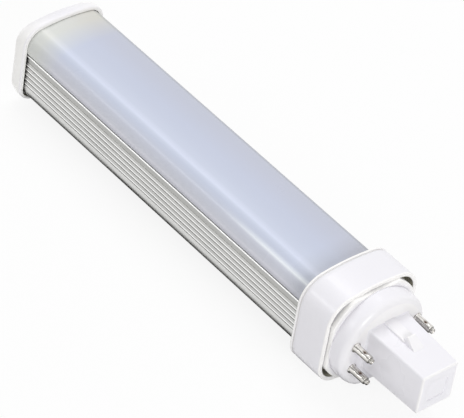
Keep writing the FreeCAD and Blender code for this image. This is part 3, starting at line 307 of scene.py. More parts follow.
def wall_side():
    """The right wall from its foot up to its inner face, with grooves and the bead at the top."""
    points = arc(SIDE - FOOT_ROUND, FOOT_ROUND - TUBE_BELOW, FOOT_ROUND, -90.0, 0.0, 14)
    for number in reversed(range(GROOVES)):
        middle = GROOVE_FIRST - number * GROOVE_PITCH
        low_lip, high_lip = middle - GROOVE_HALF - GROOVE_LIP, middle + GROOVE_HALF + GROOVE_LIP
        bottom = SIDE - (GROOVE_DEPTH if number else TOP_GROOVE_DEPTH)
        points += arc(SIDE - GROOVE_LIP, low_lip, GROOVE_LIP, 0.0, 90.0, 5)
        points += [(bottom, middle - GROOVE_HALF), (bottom, middle + GROOVE_HALF)]
        points += arc(SIDE - GROOVE_LIP, high_lip, GROOVE_LIP, -90.0, 0.0, 5)
        points += [(SIDE, middle + above) for above, _ in RIB_PAINTED_LIGHT[1:-1]]
    points += [(SIDE, WALL_TOP - BEAD_FOOT)]
    points += arc(SIDE - BEAD_INSET, WALL_TOP - BEAD_DROP, BEAD_RADIUS, -60.0, 60.0, 8)
    points += [(SIDE - REBATE_DEPTH, WALL_TOP - REBATE_HEIGHT), (SIDE - REBATE_DEPTH, WALL_TOP)]
    points += [(WALL_LIP, WALL_TOP), (WALL_LIP, WALL_TOP - CATCH_HIGH)]
    points += [(WALL_LIP + CATCH_DEPTH, WALL_TOP - CATCH_HIGH),
               (WALL_LIP + CATCH_DEPTH, WALL_TOP - CATCH_LOW)]
    points += [(WALL_LIP, WALL_TOP - CATCH_LOW), (WALL_LIP, SHELF_TOP)]
    return points


def mirrored(points):
    """The same run of points on the left, walked the other way."""
    return [(-across, height) for across, height in reversed(points)]


def chamber_side():
    """The right half of the driver's chamber, from its floor up round the slit screw port."""
    points = arc(CHAMBER_SIDE - CHAMBER_ROUND, CHAMBER_FLOOR + CHAMBER_ROUND, CHAMBER_ROUND,
                 -90.0, 0.0, 10)
    points += [(CHAMBER_SIDE, PORT_UP - BOSS_LOW)]
    points += arc(PORT_ACROSS, PORT_UP, BOSS_RADIUS, -25.0, -76.0, 6)
    points += arc(PORT_ACROSS, PORT_UP, PORT_RADIUS, -66.0, 246.0, 26)
    points += arc(PORT_ACROSS, PORT_UP, BOSS_RADIUS, -104.0, -205.0, 12)
    points += [(PORT_ACROSS - BOSS_HALF, SHELF_UNDER)]
    return points


def painted_lip_light(across, height):
    """Painted highlight on the wall at a point: most on each rib's lower lip and the bead."""
    if abs(across) < SIDE - PAINTED_LIT_DEPTH or height < WALL_FOOT:
        on_foot = abs(across) > SIDE - FOOT_ROUND / 2 and height < FOOT_TOP
        return FOOT_PAINTED_LIGHT if on_foot else 0.0
    if height > WALL_TOP - 1.0:
        return 1.0
    if height > GROOVE_FIRST:
        return HIGH_WALL_PAINTED_LIGHT
    if height < GROOVE_FIRST - (GROOVES - 1) * GROOVE_PITCH - GROOVE_HALF:
        return LOW_WALL_PAINTED_LIGHT
    above = (height - GROOVE_FIRST) % GROOVE_PITCH
    return next((light for reach, light in RIB_PAINTED_LIGHT if above < reach + 0.01), RIB_TOP_PAINTED_LIGHT)


outer = wall_side()
chamber = chamber_side()
sink_loops = [outer + mirrored(outer), chamber + mirrored(chamber)]
# painted highlights along the wall's lips, bead and foot, carried by the mesh to the colour
lights = [painted_lip_light(*point) for loop in sink_loops for point in loop]
sink_mesh = mesh_of(*extruded(sink_loops, TUBE_REAR, TUBE_FRONT), painted_light_and_punch=lights * 2)


def texture_group(name, inputs, outputs):
    """An empty shader group with named value inputs and outputs."""
    group = bpy.data.node_groups.new(name, "ShaderNodeTree")
    for label, default in inputs:
        socket = group.interface.new_socket(label, in_out="INPUT", socket_type="NodeSocketFloat")
        socket.default_value = default
    for label in outputs:
        group.interface.new_socket(label, in_out="OUTPUT", socket_type="NodeSocketFloat")
    return group, group.nodes.new("NodeGroupInput"), group.nodes.new("NodeGroupOutput")


# fine lines that a die or a brush leaves along the lamp
die_lines, entry, leave = texture_group(
    "die lines", (("Fineness", 9000.0), ("Stretch", 0.004)), ("Lines", "Cloud"))
where = add_node(die_lines, "ShaderNodeTexCoord").outputs["Object"]
squeeze = add_node(die_lines, "ShaderNodeCombineXYZ",
                   {"X": entry.outputs["Stretch"], "Y": 1.0, "Z": 1.0})
stretched = add_node(die_lines, "ShaderNodeVectorMath",
                     {0: where, 1: squeeze.outputs["Vector"]}, operation="MULTIPLY")
lines = add_node(die_lines, "ShaderNodeTexNoise", {
    "Vector": stretched.outputs["Vector"], "Scale": entry.outputs["Fineness"],
    "Detail": 3.0, "Roughness": 0.6,
})
cloud = add_node(die_lines, "ShaderNodeTexNoise",
                 {"Vector": where, "Scale": 90.0, "Detail": 2.0})
die_lines.links.new(lines.outputs["Fac"], leave.inputs["Lines"])
die_lines.links.new(cloud.outputs["Fac"], leave.inputs["Cloud"])


def placed_group(material, group, **values):
    """The outputs of a shader group placed in a material with its own values."""
    inputs = {label.replace("_", " "): value for label, value in values.items()}
    return add_node(material.node_tree, "ShaderNodeGroup", inputs, node_tree=group).outputs


def spread(material, source, low, high):
    """Spread a noise, which mostly lies from 0.3 to 0.7, over a range of values."""
    return add_node(material.node_tree, "ShaderNodeMapRange", {
        "Value": source, "From Min": 0.3, "From Max": 0.7, "To Min": low, "To Max": high,
    }).outputs["Result"]


def along(material, axis, first, last):
    """Nought to one along an axis of the piece between two places in metres."""
    where = add_node(material.node_tree, "ShaderNodeTexCoord").outputs["Object"]
    parts = add_node(material.node_tree, "ShaderNodeSeparateXYZ", {"Vector": where})
    return add_node(material.node_tree, "ShaderNodeMapRange", {
        "Value": parts.outputs[axis], "From Min": first, "From Max": last,
    }).outputs["Result"]


def blend_colours(material, mask, first, second, kind="MIX"):
    """Mix two colours or colour sockets by a mask; gives the socket."""
    first, second = (rgba(colour) if isinstance(colour, tuple) else colour
                     for colour in (first, second))
    return add_node(material.node_tree, "ShaderNodeMix",
                    {"Factor": mask, "A": first, "B": second},
                    data_type="RGBA", blend_type=kind).outputs["Result"]


def tint_by_painted_light(material, colour, bright, dark=(0.10, 0.10, 0.09)):
    """Carry a colour over to a painted highlight or a painted shade colour as the mesh's painted
    light says, -1 to 1.
    """
    tree = material.node_tree
    mark = add_node(tree, "ShaderNodeAttribute", attribute_name="painted_light_and_punch").outputs["Fac"]
    for aim, sign in ((bright, 1.0), (dark, -1.0)):
        amount = add_node(tree, "ShaderNodeMath", {0: mark, 1: sign},
                          operation="MULTIPLY", use_clamp=True).outputs["Value"]
        colour = blend_colours(material, amount, colour, aim)
    return colour


def relief(material, height, depth):
    """Raise a mask as a bump of a depth in metres."""
    bump = add_node(material.node_tree, "ShaderNodeBump",
                    {"Strength": 1.0, "Distance": depth, "Height": height})
    feed(material, "Normal", bump.outputs["Normal"])


aluminium = new_material("drawn aluminium", (0.46, 0.46, 0.44), 0.34, 1.0)
streaks = placed_group(aluminium, die_lines, Fineness=7000.0, Stretch=0.004)
drawn = blend_colours(aluminium, streaks["Lines"], (0.37, 0.37, 0.355), (0.50, 0.50, 0.485))
# painted shade: the last millimetre under the cap is painted nearly black, apart from the lips
drawn = blend_colours(aluminium, along(aluminium, "X", -0.0817, -0.0826), drawn,
                      (0.02, 0.02, 0.02))
# painted highlight on the lips, the bead and the foot, from the mesh's painted light
feed(aluminium, "Base Color", tint_by_painted_light(aluminium, drawn, (0.96, 0.96, 0.95)))
feed(aluminium, "Roughness", spread(aluminium, streaks["Cloud"], 0.30, 0.40))
relief(aluminium, streaks["Lines"], 0.000004)
new_piece("heat_sink_extrusion", sink_mesh, aluminium, "drawn_aluminium", "heat_sink")


# ---------------------------------------------------------------------------
# Light board.  A white-faced aluminium strip lies on the shelf; two rows of
# moulded light chips, each with a yellow phosphor window, are soldered on it.
# ---------------------------------------------------------------------------
moulded_grain, entry, leave = texture_group(
    "moulded grain", (("Grain", 2600.0), ("Cloud size", 70.0)), ("Grain", "Cloud"))
where = add_node(moulded_grain, "ShaderNodeTexCoord").outputs["Object"]
for label, size_socket, detail in (("Grain", "Grain", 2.0), ("Cloud", "Cloud size", 3.0)):
    speckle = add_node(moulded_grain, "ShaderNodeTexNoise",
                       {"Vector": where, "Scale": entry.outputs[size_socket], "Detail": detail})
    moulded_grain.links.new(speckle.outputs["Fac"], leave.inputs[label])


def moulded(name, first, second, rough_low, rough_high, grain=2600.0, depth=0.000004,
            metallic=0.0):
    """A moulded or printed finish: two close colours, an uneven gloss and a fine grain."""
    material = new_material(name, first, rough_low, metallic)
    texture = placed_group(material, moulded_grain, Grain=grain)
    feed(material, "Base Color", blend_colours(material, texture["Cloud"], first, second))
    feed(material, "Roughness", spread(material, texture["Cloud"], rough_low, rough_high))
    relief(material, texture["Grain"], depth)
    return material


board_white = moulded("solder mask white", (0.80, 0.80, 0.77), (0.84, 0.84, 0.81), 0.35, 0.45)
dress("led_board", board_white)

chip_case = moulded("chip case", (0.78, 0.78, 0.75), (0.83, 0.83, 0.80), 0.3, 0.45)
phosphor = moulded("phosphor", (0.78, 0.55, 0.10), (0.84, 0.62, 0.14), 0.4, 0.55,
                   grain=6000.0, depth=0.00001)
dress("led_chips", chip_case)

CHIP_LENGTH, CHIP_WIDTH, CHIP_HEIGHT = 3.5, 2.8, 0.75
CHIP_BEVEL, WINDOW_EDGE, WINDOW_FOOT, WINDOW_SUNK = 0.12, 0.4, 0.5, 0.12
CHIP_BASE = 3.80  # top of the light board
CHIP_COUNT, CHIP_FIRST, CHIP_LAST = 18, -79.5, 47.0
CHIP_ROW = 4.6  # each row of chips off the middle plane


def bands(rings, count):
    """Faces that join a number of rings, each of count vertices, one to the next."""
    faces = []
    for level in range(rings - 1):
        for step in range(count):
            here, ahead = level * count + step, level * count + (step + 1) % count
            faces.append((here, ahead, ahead + count, here + count))
    return faces


def chip_form():
    """One chip at the middle of the board: a bevelled case with a sunk window."""
    top = CHIP_BASE + CHIP_HEIGHT
    vertices = []
    for inset, height in ((0.0, CHIP_BASE), (0.0, top - CHIP_BEVEL), (CHIP_BEVEL, top),
                          (WINDOW_EDGE, top), (WINDOW_FOOT, top - WINDOW_SUNK)):
        half_length, half_width = CHIP_LENGTH / 2 - inset, CHIP_WIDTH / 2 - inset
        vertices += [(half_length, half_width, height), (-half_length, half_width, height),
                     (-half_length, -half_width, height), (half_length, -half_width, height)]
    window = tuple(range(len(vertices) - 4, len(vertices)))
    return vertices, [(3, 2, 1, 0), *bands(len(vertices) // 4, 4), window]


def grid_of_copies():
    """A Geometry Nodes tree that sets copies of the piece on a grid of two directions."""
    tree = bpy.data.node_groups.new("grid of copies", "GeometryNodeTree")
    face = tree.interface
    face.new_socket("Geometry", in_out="INPUT", socket_type="NodeSocketGeometry")
    for direction in ("First", "Second"):
        face.new_socket(f"{direction} count", in_out="INPUT", socket_type="NodeSocketInt")
        face.new_socket(f"{direction} step", in_out="INPUT", socket_type="NodeSocketVector")
    face.new_socket("Start", in_out="INPUT", socket_type="NodeSocketVector")
    face.new_socket("Material", in_out="INPUT", socket_type="NodeSocketMaterial")
    face.new_socket("Geometry", in_out="OUTPUT", socket_type="NodeSocketGeometry")
    entry, leave = tree.nodes.new("NodeGroupInput"), tree.nodes.new("NodeGroupOutput")
    carried = entry.outputs["Geometry"]
    for direction in ("First", "Second"):
        run = tree.nodes.new("GeometryNodeMeshLine")
        tree.links.new(entry.outputs[f"{direction} count"], run.inputs["Count"])
        tree.links.new(entry.outputs[f"{direction} step"], run.inputs["Offset"])
        if direction == "Second":
            tree.links.new(entry.outputs["Start"], run.inputs["Start Location"])
        copies = tree.nodes.new("GeometryNodeInstanceOnPoints")
        tree.links.new(run.outputs["Mesh"], copies.inputs["Points"])
        tree.links.new(carried, copies.inputs["Instance"])
        carried = copies.outputs["Instances"]
    real = tree.nodes.new("GeometryNodeRealizeInstances")
    coat = tree.nodes.new("GeometryNodeSetMaterial")
    tree.links.new(carried, real.inputs["Geometry"])
    tree.links.new(real.outputs["Geometry"], coat.inputs["Geometry"])
    tree.links.new(entry.outputs["Material"], coat.inputs["Material"])
    tree.links.new(coat.outputs["Geometry"], leave.inputs["Geometry"])
    return tree


copies_tree = grid_of_copies()


def copied(mesh, material, start, first, second):
    """A mesh of copies; start is in millimetres, first and second are (count, step in mm)."""
    holder = bpy.data.objects.new("holder", mesh)
    bpy.context.scene.collection.objects.link(holder)
    modifier = holder.modifiers.new("copies", "NODES")
    modifier.node_group = copies_tree
    sockets = {
        item.name: item.identifier for item in copies_tree.interface.items_tree
        if item.in_out == "INPUT"
    }
    modifier[sockets["First count"]] = first[0]
    modifier[sockets["First step"]] = [length * MM for length in first[1]]
    modifier[sockets["Second count"]] = second[0]
    modifier[sockets["Second step"]] = [length * MM for length in second[1]]
    modifier[sockets["Start"]] = [length * MM for length in start]
    modifier[sockets["Material"]] = material
    graph = bpy.context.evaluated_depsgraph_get()
    result = bpy.data.meshes.new_from_object(holder.evaluated_get(graph), depsgraph=graph)
    bpy.data.objects.remove(holder)
    return result


chip_step = (CHIP_LAST - CHIP_FIRST) / (CHIP_COUNT - 1)
chip_mesh = copied(mesh_of(*chip_form(), crease=20.0), chip_case, (CHIP_FIRST, -CHIP_ROW, 0.0),
                   (CHIP_COUNT, (chip_step, 0.0, 0.0)), (2, (0.0, 2 * CHIP_ROW, 0.0)))
chips = new_piece("light_chips", chip_mesh, chip_case, "chip_phosphor", "led_chips")
chips.data.materials.append(phosphor)
window_area = (CHIP_LENGTH - 2 * WINDOW_FOOT) * (CHIP_WIDTH - 2 * WINDOW_FOOT) * MM * MM
for face in chips.data.polygons:
    if abs(face.area - window_area) < window_area * 0.02 and face.normal.z > 0.9:
        face.material_index = 1


# ---------------------------------------------------------------------------
# Driver.  An insulating tray lies in the heat sink's chamber and carries the
# driver's board with its transformer, choke, capacitors, packages and fuse.
# ---------------------------------------------------------------------------
dress("driver_tray", moulded("tray plastic", (0.62, 0.62, 0.60), (0.67, 0.67, 0.65), 0.35, 0.5))
dress("driver_board", moulded("paper board", (0.42, 0.24, 0.10), (0.50, 0.30, 0.13), 0.5, 0.65,
                              grain=1800.0))
dress("fuse_resistor", moulded("resistor coat", (0.35, 0.42, 0.36), (0.42, 0.49, 0.42),
                               0.4, 0.55))
package_black = moulded("package black", (0.020, 0.020, 0.022), (0.032, 0.032, 0.034), 0.5, 0.65,
                        grain=5000.0, depth=0.000006)
dress("bridge_rectifier", package_black)
dress("driver_chip", package_black)
dress("filter_choke", moulded("choke sleeve", (0.018, 0.018, 0.020), (0.030, 0.030, 0.032),
                              0.25, 0.4))
can_sleeve = moulded("can sleeve", (0.02, 0.03, 0.09), (0.03, 0.04, 0.12), 0.2, 0.3)
dress("input_capacitor", can_sleeve)
dress("output_capacitor", can_sleeve)
dress("transformer_core", moulded("ferrite", (0.035, 0.034, 0.033), (0.055, 0.053, 0.050),
                                  0.6, 0.75, grain=3500.0, depth=0.00001))
dress("transformer_coil", moulded("coil tape", (0.72, 0.50, 0.06), (0.78, 0.56, 0.09),
                                  0.25, 0.38))


# ---------------------------------------------------------------------------
# Leads.  Copper in red plastic insulation: four from the pins to the driver,
# and two from the driver up through the shelf to the light board.
# ---------------------------------------------------------------------------
lead_red = moulded("lead insulation", (0.70, 0.08, 0.06), (0.78, 0.12, 0.09), 0.35, 0.5)
dress("input_leads", lead_red)
dress("output_leads", lead_red)


# ---------------------------------------------------------------------------
# Cover.  An extruded arch of milky, faintly blue plastic; its two legs snap
# into the heat sink's walls and leave a fine dark joint above the metal.
# ---------------------------------------------------------------------------
TUBE_HALF, TUBE_PEAK, TUBE_CORNER, TUBE_CROWN = 13.78, 13.48, 5.4, 65.0


def arch(grow, low, foot=0.0, steps=16, crown_steps=14):
    """The lamp's arched outline grown by a step, from its low right corner round to the left."""
    half, peak = TUBE_HALF + grow, TUBE_PEAK + grow
    corner, crown = TUBE_CORNER + grow, TUBE_CROWN + grow
    crown_centre = peak - crown
    corner_across = half - corner
    corner_up = crown_centre + math.sqrt((crown - corner) ** 2 - corner_across ** 2)
    meet = math.degrees(math.atan2(corner_up - crown_centre, corner_across))
    points = arc(half - foot, low + foot, foot, -90.0, 0.0, steps) if foot else [(half, low)]
    points += arc(corner_across, corner_up, corner, 0.0, meet, steps)
    points += arc(0.0, crown_centre, crown, meet, 180.0 - meet, crown_steps)[1:]
    points += arc(-corner_across, corner_up, corner, 180.0 - meet, 180.0, steps)[1:]
    points += arc(foot - half, low + foot, foot, 180.0, 270.0, steps) if foot else [(-half, low)]
    return points


COVER_WALL, COVER_LOW, COVER_END_GAP = 1.1, 5.5, 0.3
# the right leg, from its root on the inside down its inner face and up past the barb
leg_right = [
    (12.40, COVER_LOW + 0.5), (11.80, COVER_LOW + 0.65), (11.80, 3.80), (12.65, 3.80),
    (12.65, 4.20), (12.90, 4.70), (12.65, 4.70), (12.65, COVER_LOW),
]
# outer skin from right to left, then back along the inside with both legs
inside = [point for point in reversed(arch(-COVER_WALL, COVER_LOW))
          if point[1] > COVER_LOW + 0.7]
cover_loop = arch(0.0, COVER_LOW) + mirrored(leg_right) + inside + leg_right
cover_mesh = mesh_of(*extruded([cover_loop], TUBE_REAR + COVER_END_GAP,
                               TUBE_FRONT - COVER_END_GAP))

milky = new_material("milky cover", (0.62, 0.64, 0.72), 0.28)
principled(milky)["Specular IOR Level"].default_value = 0.30
texture = placed_group(milky, moulded_grain, Grain=1500.0, Cloud_size=26.0)


def ramp(material, value, stops):
    """Colours along a nought-to-one value."""
    node = add_node(material.node_tree, "ShaderNodeValToRGB", {"Fac": value})
    for place, _ in stops[1:-1]:
        node.color_ramp.elements.new(place)
    for stop, (place, colour) in zip(node.color_ramp.elements, stops):
        stop.position = place
        stop.color = rgba(colour)
    return node.outputs["Color"]


# painted light and shade up the side: darker by the joint, a painted light band low on the side,
# then darker again over the shoulder to the crown
skin = ramp(milky, along(milky, "Z", (AXIS + 5.5) * MM, (AXIS + 13.5) * MM), (
    (0.00, (0.54, 0.54, 0.59)), (0.07, (0.57, 0.57, 0.63)), (0.14, (0.66, 0.66, 0.73)),
    (0.22, (0.72, 0.72, 0.79)), (0.30, (0.66, 0.67, 0.74)), (0.65, (0.61, 0.63, 0.72)),
    (0.85, (0.565, 0.605, 0.725)), (1.00, (0.55, 0.59, 0.715)),
))
# painted light and shade at the ends: lighter and warmer by the cap, darker by the collar
skin = blend_colours(milky, along(milky, "X", -0.0700, -0.0790), skin, (0.67, 0.68, 0.655))
skin = blend_colours(milky, along(milky, "X", 0.0360, 0.0500), skin, (0.48, 0.495, 0.55))
# a painted highlight along the wall where the crown turns into the shoulder, and painted shade on
# the far side
lines = ramp(milky, along(milky, "Y", -0.0140, 0.0140), (
    (0.00, WHITE), (0.115, WHITE), (0.150, (1.06, 1.06, 1.05)), (0.178, (1.15, 1.14, 1.14)),
    (0.205, (1.09, 1.08, 1.08)), (0.250, WHITE), (0.50, (1.00, 0.99, 0.99)),
    (0.72, (0.97, 0.94, 0.92)), (0.86, (0.95, 0.92, 0.89)), (0.91, (0.62, 0.61, 0.60)),
    (1.00, (0.46, 0.45, 0.44)),
))
skin = blend_colours(milky, 1.0, skin, lines, "MULTIPLY")
# a second painted highlight low on the shoulder that comes in towards the collar
painted_near_highlight = ramp(milky, along(milky, "Z", (AXIS + 9.6) * MM, (AXIS + 12.6) * MM), (
    (0.00, WHITE), (0.30, (1.08, 1.08, 1.06)), (0.48, (1.42, 1.42, 1.30)),
    (0.64, (1.24, 1.24, 1.18)), (0.78, WHITE), (1.00, WHITE),
))
painted_near_highlight = blend_colours(milky, along(milky, "Y", 0.0, -0.004), WHITE, painted_near_highlight)
painted_near_highlight = blend_colours(milky, along(milky, "X", 0.006, 0.026), WHITE, painted_near_highlight)
skin = blend_colours(milky, 1.0, skin, painted_near_highlight, "MULTIPLY")
cloud = blend_colours(milky, texture["Cloud"], (0.955, 0.965, 0.965), WHITE)
feed(milky, "Base Color", blend_colours(milky, 1.0, skin, cloud, "MULTIPLY"))
feed(milky, "Roughness", spread(milky, texture["Cloud"], 0.22, 0.30))
relief(milky, texture["Grain"], 0.0000015)
new_piece("milky_arch", cover_mesh, milky, "milky_cover", "diffuser_cover")


# ---------------------------------------------------------------------------
# End cap.  A shallow cup of glossy white plastic over the tube's far end,
# held by two countersunk steel screws driven into the heat sink's ports.
# ---------------------------------------------------------------------------
def swept(rings, ends=(True, True)):
    """Vertices, faces and painted light through rings of equal count.

    A ring is (station, outline) or (station, outline, painted light).
    """
    count = len(rings[0][1])
    vertices = [(ring[0], y, z) for ring in rings for y, z in ring[1]]
    light = [ring[2] if len(ring) > 2 else 0.0 for ring in rings for point in ring[1]]
    faces = bands(len(rings), count)
    if ends[0]:
        faces.append(tuple(range(count)))
    if ends[1]:
        faces.append(tuple(range(len(vertices) - count, len(vertices))))
    return vertices, faces, light


def quarter(steps):
    """Sine and cosine along a quarter turn."""
    turns = [math.pi / 2 * step / steps for step in range(steps + 1)]
    return [(math.sin(turn), math.cos(turn)) for turn in turns]


def rear_round(rear, radius, outline, steps, light=0.0):
    """Rings that round a rear edge; outline gives the section drawn in by an inset."""
    return [(rear + radius * (1 - cosine), outline(radius * (1 - sine)), light)
            for sine, cosine in quarter(steps)]


def front_round(front, radius, outline, steps, light, rising=False):
    """Rings that round a front edge, with an even painted light or one that rises from nought."""
    return [(front - radius * (1 - sine), outline(radius * (1 - cosine)),
             light * sine if rising else light) for sine, cosine in quarter(steps)]


CAP_REAR, CAP_FRONT = -87.9, -82.9
CAP_FLOOR = 2.5    # bottom of the hollow off the back, a little inside the tube's end
CAP_ROUND, CAP_RIM = 0.8, 0.70
# painted light: the cap's sides are painted lightest this far out
CAP_SIDE = 15.2    # how far out the cap is at its lightest
CAP_MIDDLE = -0.7  # height of the middle of the back
# the outside is drawn in over this length at the back, by this share at mid height and in
# full this far above and below it
CAP_DRAW, DRAW_SIDE, DRAW_REACH = 3.0, 0.12, 14.0
# off the tube's outline: the outside, the mouth, the grip behind it and the hollow
CAP_GROW, CAP_MOUTH, CAP_GRIP, CAP_HOLLOW = 1.45, 0.22, 0.10, 0.45
TUBE_FOOT, GRIP_FOOT = 5.0, 3.9  # rounds of the lower corners


def tube_outline(grow, foot=TUBE_FOOT):
    """The tube's outline grown by a step, over a round of its lower corners."""
    return arch(grow, -TUBE_BELOW - grow, foot + grow)


def shrunk(outline, share):
    """An outline drawn in towards the middle of the cap's back."""
    return [(y * share, CAP_MIDDLE + (z - CAP_MIDDLE) * share) for y, z in outline]


def drawn_in(amount, inset=0.0):
    """The outside of the cap, drawn in over its top and corners by an amount from 0 to 1."""
    outline = []
    for full, inner in zip(tube_outline(CAP_GROW - inset), tube_outline(-inset)):
        reach = min(1.0, abs(full[1] - CAP_MIDDLE) / DRAW_REACH)
        share = amount * (DRAW_SIDE + (1 - DRAW_SIDE) * reach ** 4)
        outline.append(tuple(a + (b - a) * share for a, b in zip(full, inner)))
    return outline


cap_rings = [(CAP_REAR, shrunk(drawn_in(1.0, CAP_ROUND), share))
             for share in (0.1, 0.25, 0.4, 0.55, 0.7, 0.85)]
cap_rings += rear_round(CAP_REAR, CAP_ROUND, lambda inset: drawn_in(1.0, inset), 8)
cap_rings += [(CAP_REAR + CAP_ROUND + (CAP_DRAW - CAP_ROUND) * step / 6,
               drawn_in((1 - step / 6) ** 1.3)) for step in range(1, 7)]
cap_rings += [(CAP_FRONT - CAP_RIM - 0.2, tube_outline(CAP_GROW))]
# painted highlight rising over the front rim and at the mouth, and painted shade on the grip inside
# it
cap_rings += front_round(CAP_FRONT, CAP_RIM, lambda inset: tube_outline(CAP_GROW - inset),
                         6, 0.7, rising=True)
grip, hollow = tube_outline(CAP_GRIP, GRIP_FOOT), tube_outline(CAP_HOLLOW)
cap_rings += [
    (CAP_FRONT, tube_outline(CAP_MOUTH, GRIP_FOOT), 1.0), (CAP_FRONT - 0.15, grip),
    (CAP_FRONT - 0.5, grip, -1.0), (CAP_FRONT - 0.9, grip, -1.0),
    (CAP_FRONT - 1.0, hollow, -1.0), (CAP_REAR + CAP_FLOOR, hollow),
]
cap_vertices, cap_faces, cap_painted_light = swept(cap_rings)
# painted light: the cap's sides are painted lighter than its crown
cap_painted_light = [light or min(1.0, abs(place[1]) / CAP_SIDE) ** 2
             for light, place in zip(cap_painted_light, cap_vertices)]
cap_mesh = mesh_of(cap_vertices, cap_faces, painted_light_and_punch=cap_painted_light)

glossy_white = moulded("moulded white", (0.83, 0.82, 0.86), (0.87, 0.86, 0.90), 0.26, 0.36,
                       grain=1400.0, depth=0.000003)
gloss = principled(glossy_white)
# painted highlight in creamy white on the rims and painted shade in olive grey in the steps and
# recesses, from the mesh's painted light
feed(glossy_white, "Base Color",
     tint_by_painted_light(glossy_white, gloss["Base Color"].links[0].from_socket, (0.97, 0.96, 0.94),
               (0.36, 0.34, 0.19)))
gloss["Coat Weight"].default_value = 0.15
gloss["Coat Roughness"].default_value = 0.15
new_piece("far_cap", cap_mesh, glossy_white, "white_plastic", "end_cap")

bright_steel = moulded("screw steel", (0.55, 0.54, 0.52), (0.64, 0.63, 0.61), 0.22, 0.34,
                       grain=5000.0, metallic=1.0)
dress("end_cap_screws", bright_steel)


# ---------------------------------------------------------------------------
# Collar.  A white moulded sleeve: thick where it grips the tube, thin round
# the base's flange, with a fine bead along its rear rim and a web between.
# ---------------------------------------------------------------------------
COLLAR_REAR, COLLAR_FRONT, WEB_FRONT = 46.0, 58.83, 54.9
COLLAR_GROW = 3.06  # outside of the collar off the tube's outline
COLLAR_BEAD, COLLAR_STEP, COLLAR_RIM, COLLAR_WALL = 0.40, 0.30, 0.30, 1.25
# off the tube's outline: the grip, the mouth behind it and the opening in the web
COLLAR_GRIP, COLLAR_MOUTH, WEB_OPENING = 0.1, 0.3, -4.0
# from the rear rim, inset and painted light of the bead's front, the step and the slope after it:
# painted highlight on the bead and painted shade in the step
COLLAR_PROFILE = (
    (0.55, 0.0, 1.0), (0.70, 0.06, 0.5), (0.78, COLLAR_STEP, -0.30), (1.12, COLLAR_STEP, -0.22),
    (1.3, 0.16, 0.0), (1.8, 0.05, 0.0), (2.4, 0.0, 0.0),
)


def collar_outline(inset):
    """The collar's outside, which lies on the table, drawn in by an inset."""
    grow = COLLAR_GROW - inset
    return arch(grow, inset - AXIS, TUBE_FOOT + grow)


opening, grip, recess = (tube_outline(WEB_OPENING), tube_outline(COLLAR_GRIP),
                         collar_outline(COLLAR_WALL))
# painted highlight on the rear mouth, then round the bead
collar_rings = [(WEB_FRONT, opening), (TUBE_FRONT, opening), (TUBE_FRONT, grip),
                (COLLAR_REAR + 0.2, grip), (COLLAR_REAR, tube_outline(COLLAR_MOUTH), 0.5)]
collar_rings += rear_round(COLLAR_REAR, COLLAR_BEAD, collar_outline, 6, 1.0)
collar_rings += [(COLLAR_REAR + ahead, collar_outline(inset), light)
                 for ahead, inset, light in COLLAR_PROFILE]
collar_rings += [(COLLAR_FRONT - 0.7, collar_outline(0.0))]
# painted highlight on the front rim, and painted shade down the recess behind it
collar_rings += front_round(COLLAR_FRONT, COLLAR_RIM, collar_outline, 6, 0.9)
collar_rings += [(COLLAR_FRONT, collar_outline(COLLAR_WALL - 0.2), 0.9),
                 (COLLAR_FRONT - 0.15, recess, 0.3), (COLLAR_FRONT - 0.30, recess, -0.7),
                 (WEB_FRONT, recess, -0.7), (WEB_FRONT, opening, -0.7)]
collar_vertices, collar_faces, collar_light = swept(collar_rings, (False, False))
collar_mesh = mesh_of(collar_vertices, collar_faces, painted_light_and_punch=collar_light)
new_piece("white_collar", collar_mesh, glossy_white, "white_plastic", "collar")
dress("collar_screws", bright_steel)


# ---------------------------------------------------------------------------
# Base.  One white moulding: a flange that the collar holds, a round neck with
# a flat under it, and a hollow tapered post with a latch nose above and below.
# ---------------------------------------------------------------------------
NECK_FRONT, POST_FRONT = 65.76, 87.9
FLANGE_REAR, FLANGE_FRONT = 57.33, COLLAR_FRONT + 1.2  # it stands a little proud of the collar
FLANGE_RADIUS, FLANGE_BEVEL, FLANGE_EDGE = 16.95, 0.25, 0.35
FLANGE_ACROSS, FLANGE_UP = -0.2, 0.4  # it sits a little high and to the seen side
# where the collar trims it, off the middle plane, below the axis and above it
FLANGE_HALF, FLANGE_LOW, FLANGE_PEAK = 15.38, 13.78, 15.08
NECK_RADIUS, NECK_FLAT, NECK_EDGE, FLAT_EDGE = 15.5, 13.3, 2.2, 0.9
FACE_RADIUS, FACE_FLAT = 12.4, 11.4
# the step at the neck's root: ahead of the flange, radius, flat and painted light, with a painted
# highlight at its edge and painted shade in the step
NECK_ROOT = ((0.0, 15.60, 13.60, 0.3), (-0.10, 15.50, 13.50, -0.12),
             (-0.10, 15.30, 13.30, -0.08), (0.25, 15.30, 13.30, 0.0))

# every other degree, and the two turns at which the neck's flat begins and ends
flat_turn = math.degrees(math.asin(NECK_FLAT / NECK_RADIUS))
base_turns = [
    (math.sin(math.radians(turn)), math.cos(math.radians(turn)))
    for turn in sorted([2.0 * step for step in range(180)] + [180.0 + flat_turn, 360.0 - flat_turn])
]


def flatted(radius, flat):
    """A circle with its underside cut off flat, walked by angle."""
    points = []
    for sine, cosine in base_turns:
        reach = min(radius, -flat / sine) if sine < -1e-6 else radius
        points.append((reach * cosine, reach * sine))
    return points


def flange_outline(inset):
    """The flange disc: a circle trimmed by the inside of the collar."""
    points = []
    for sine, cosine in base_turns:
        towards = FLANGE_ACROSS * cosine + FLANGE_UP * sine
        aside = FLANGE_UP * cosine - FLANGE_ACROSS * sine
        reach = towards + math.sqrt((FLANGE_RADIUS - inset) ** 2 - aside ** 2)
        reach = min(reach, (FLANGE_HALF - inset) / max(abs(cosine), 1e-6))
        stop = FLANGE_LOW if sine < 0 else FLANGE_PEAK
        reach = min(reach, (stop - inset) / max(abs(sine), 1e-6))
        points.append((reach * cosine, reach * sine))
    return points


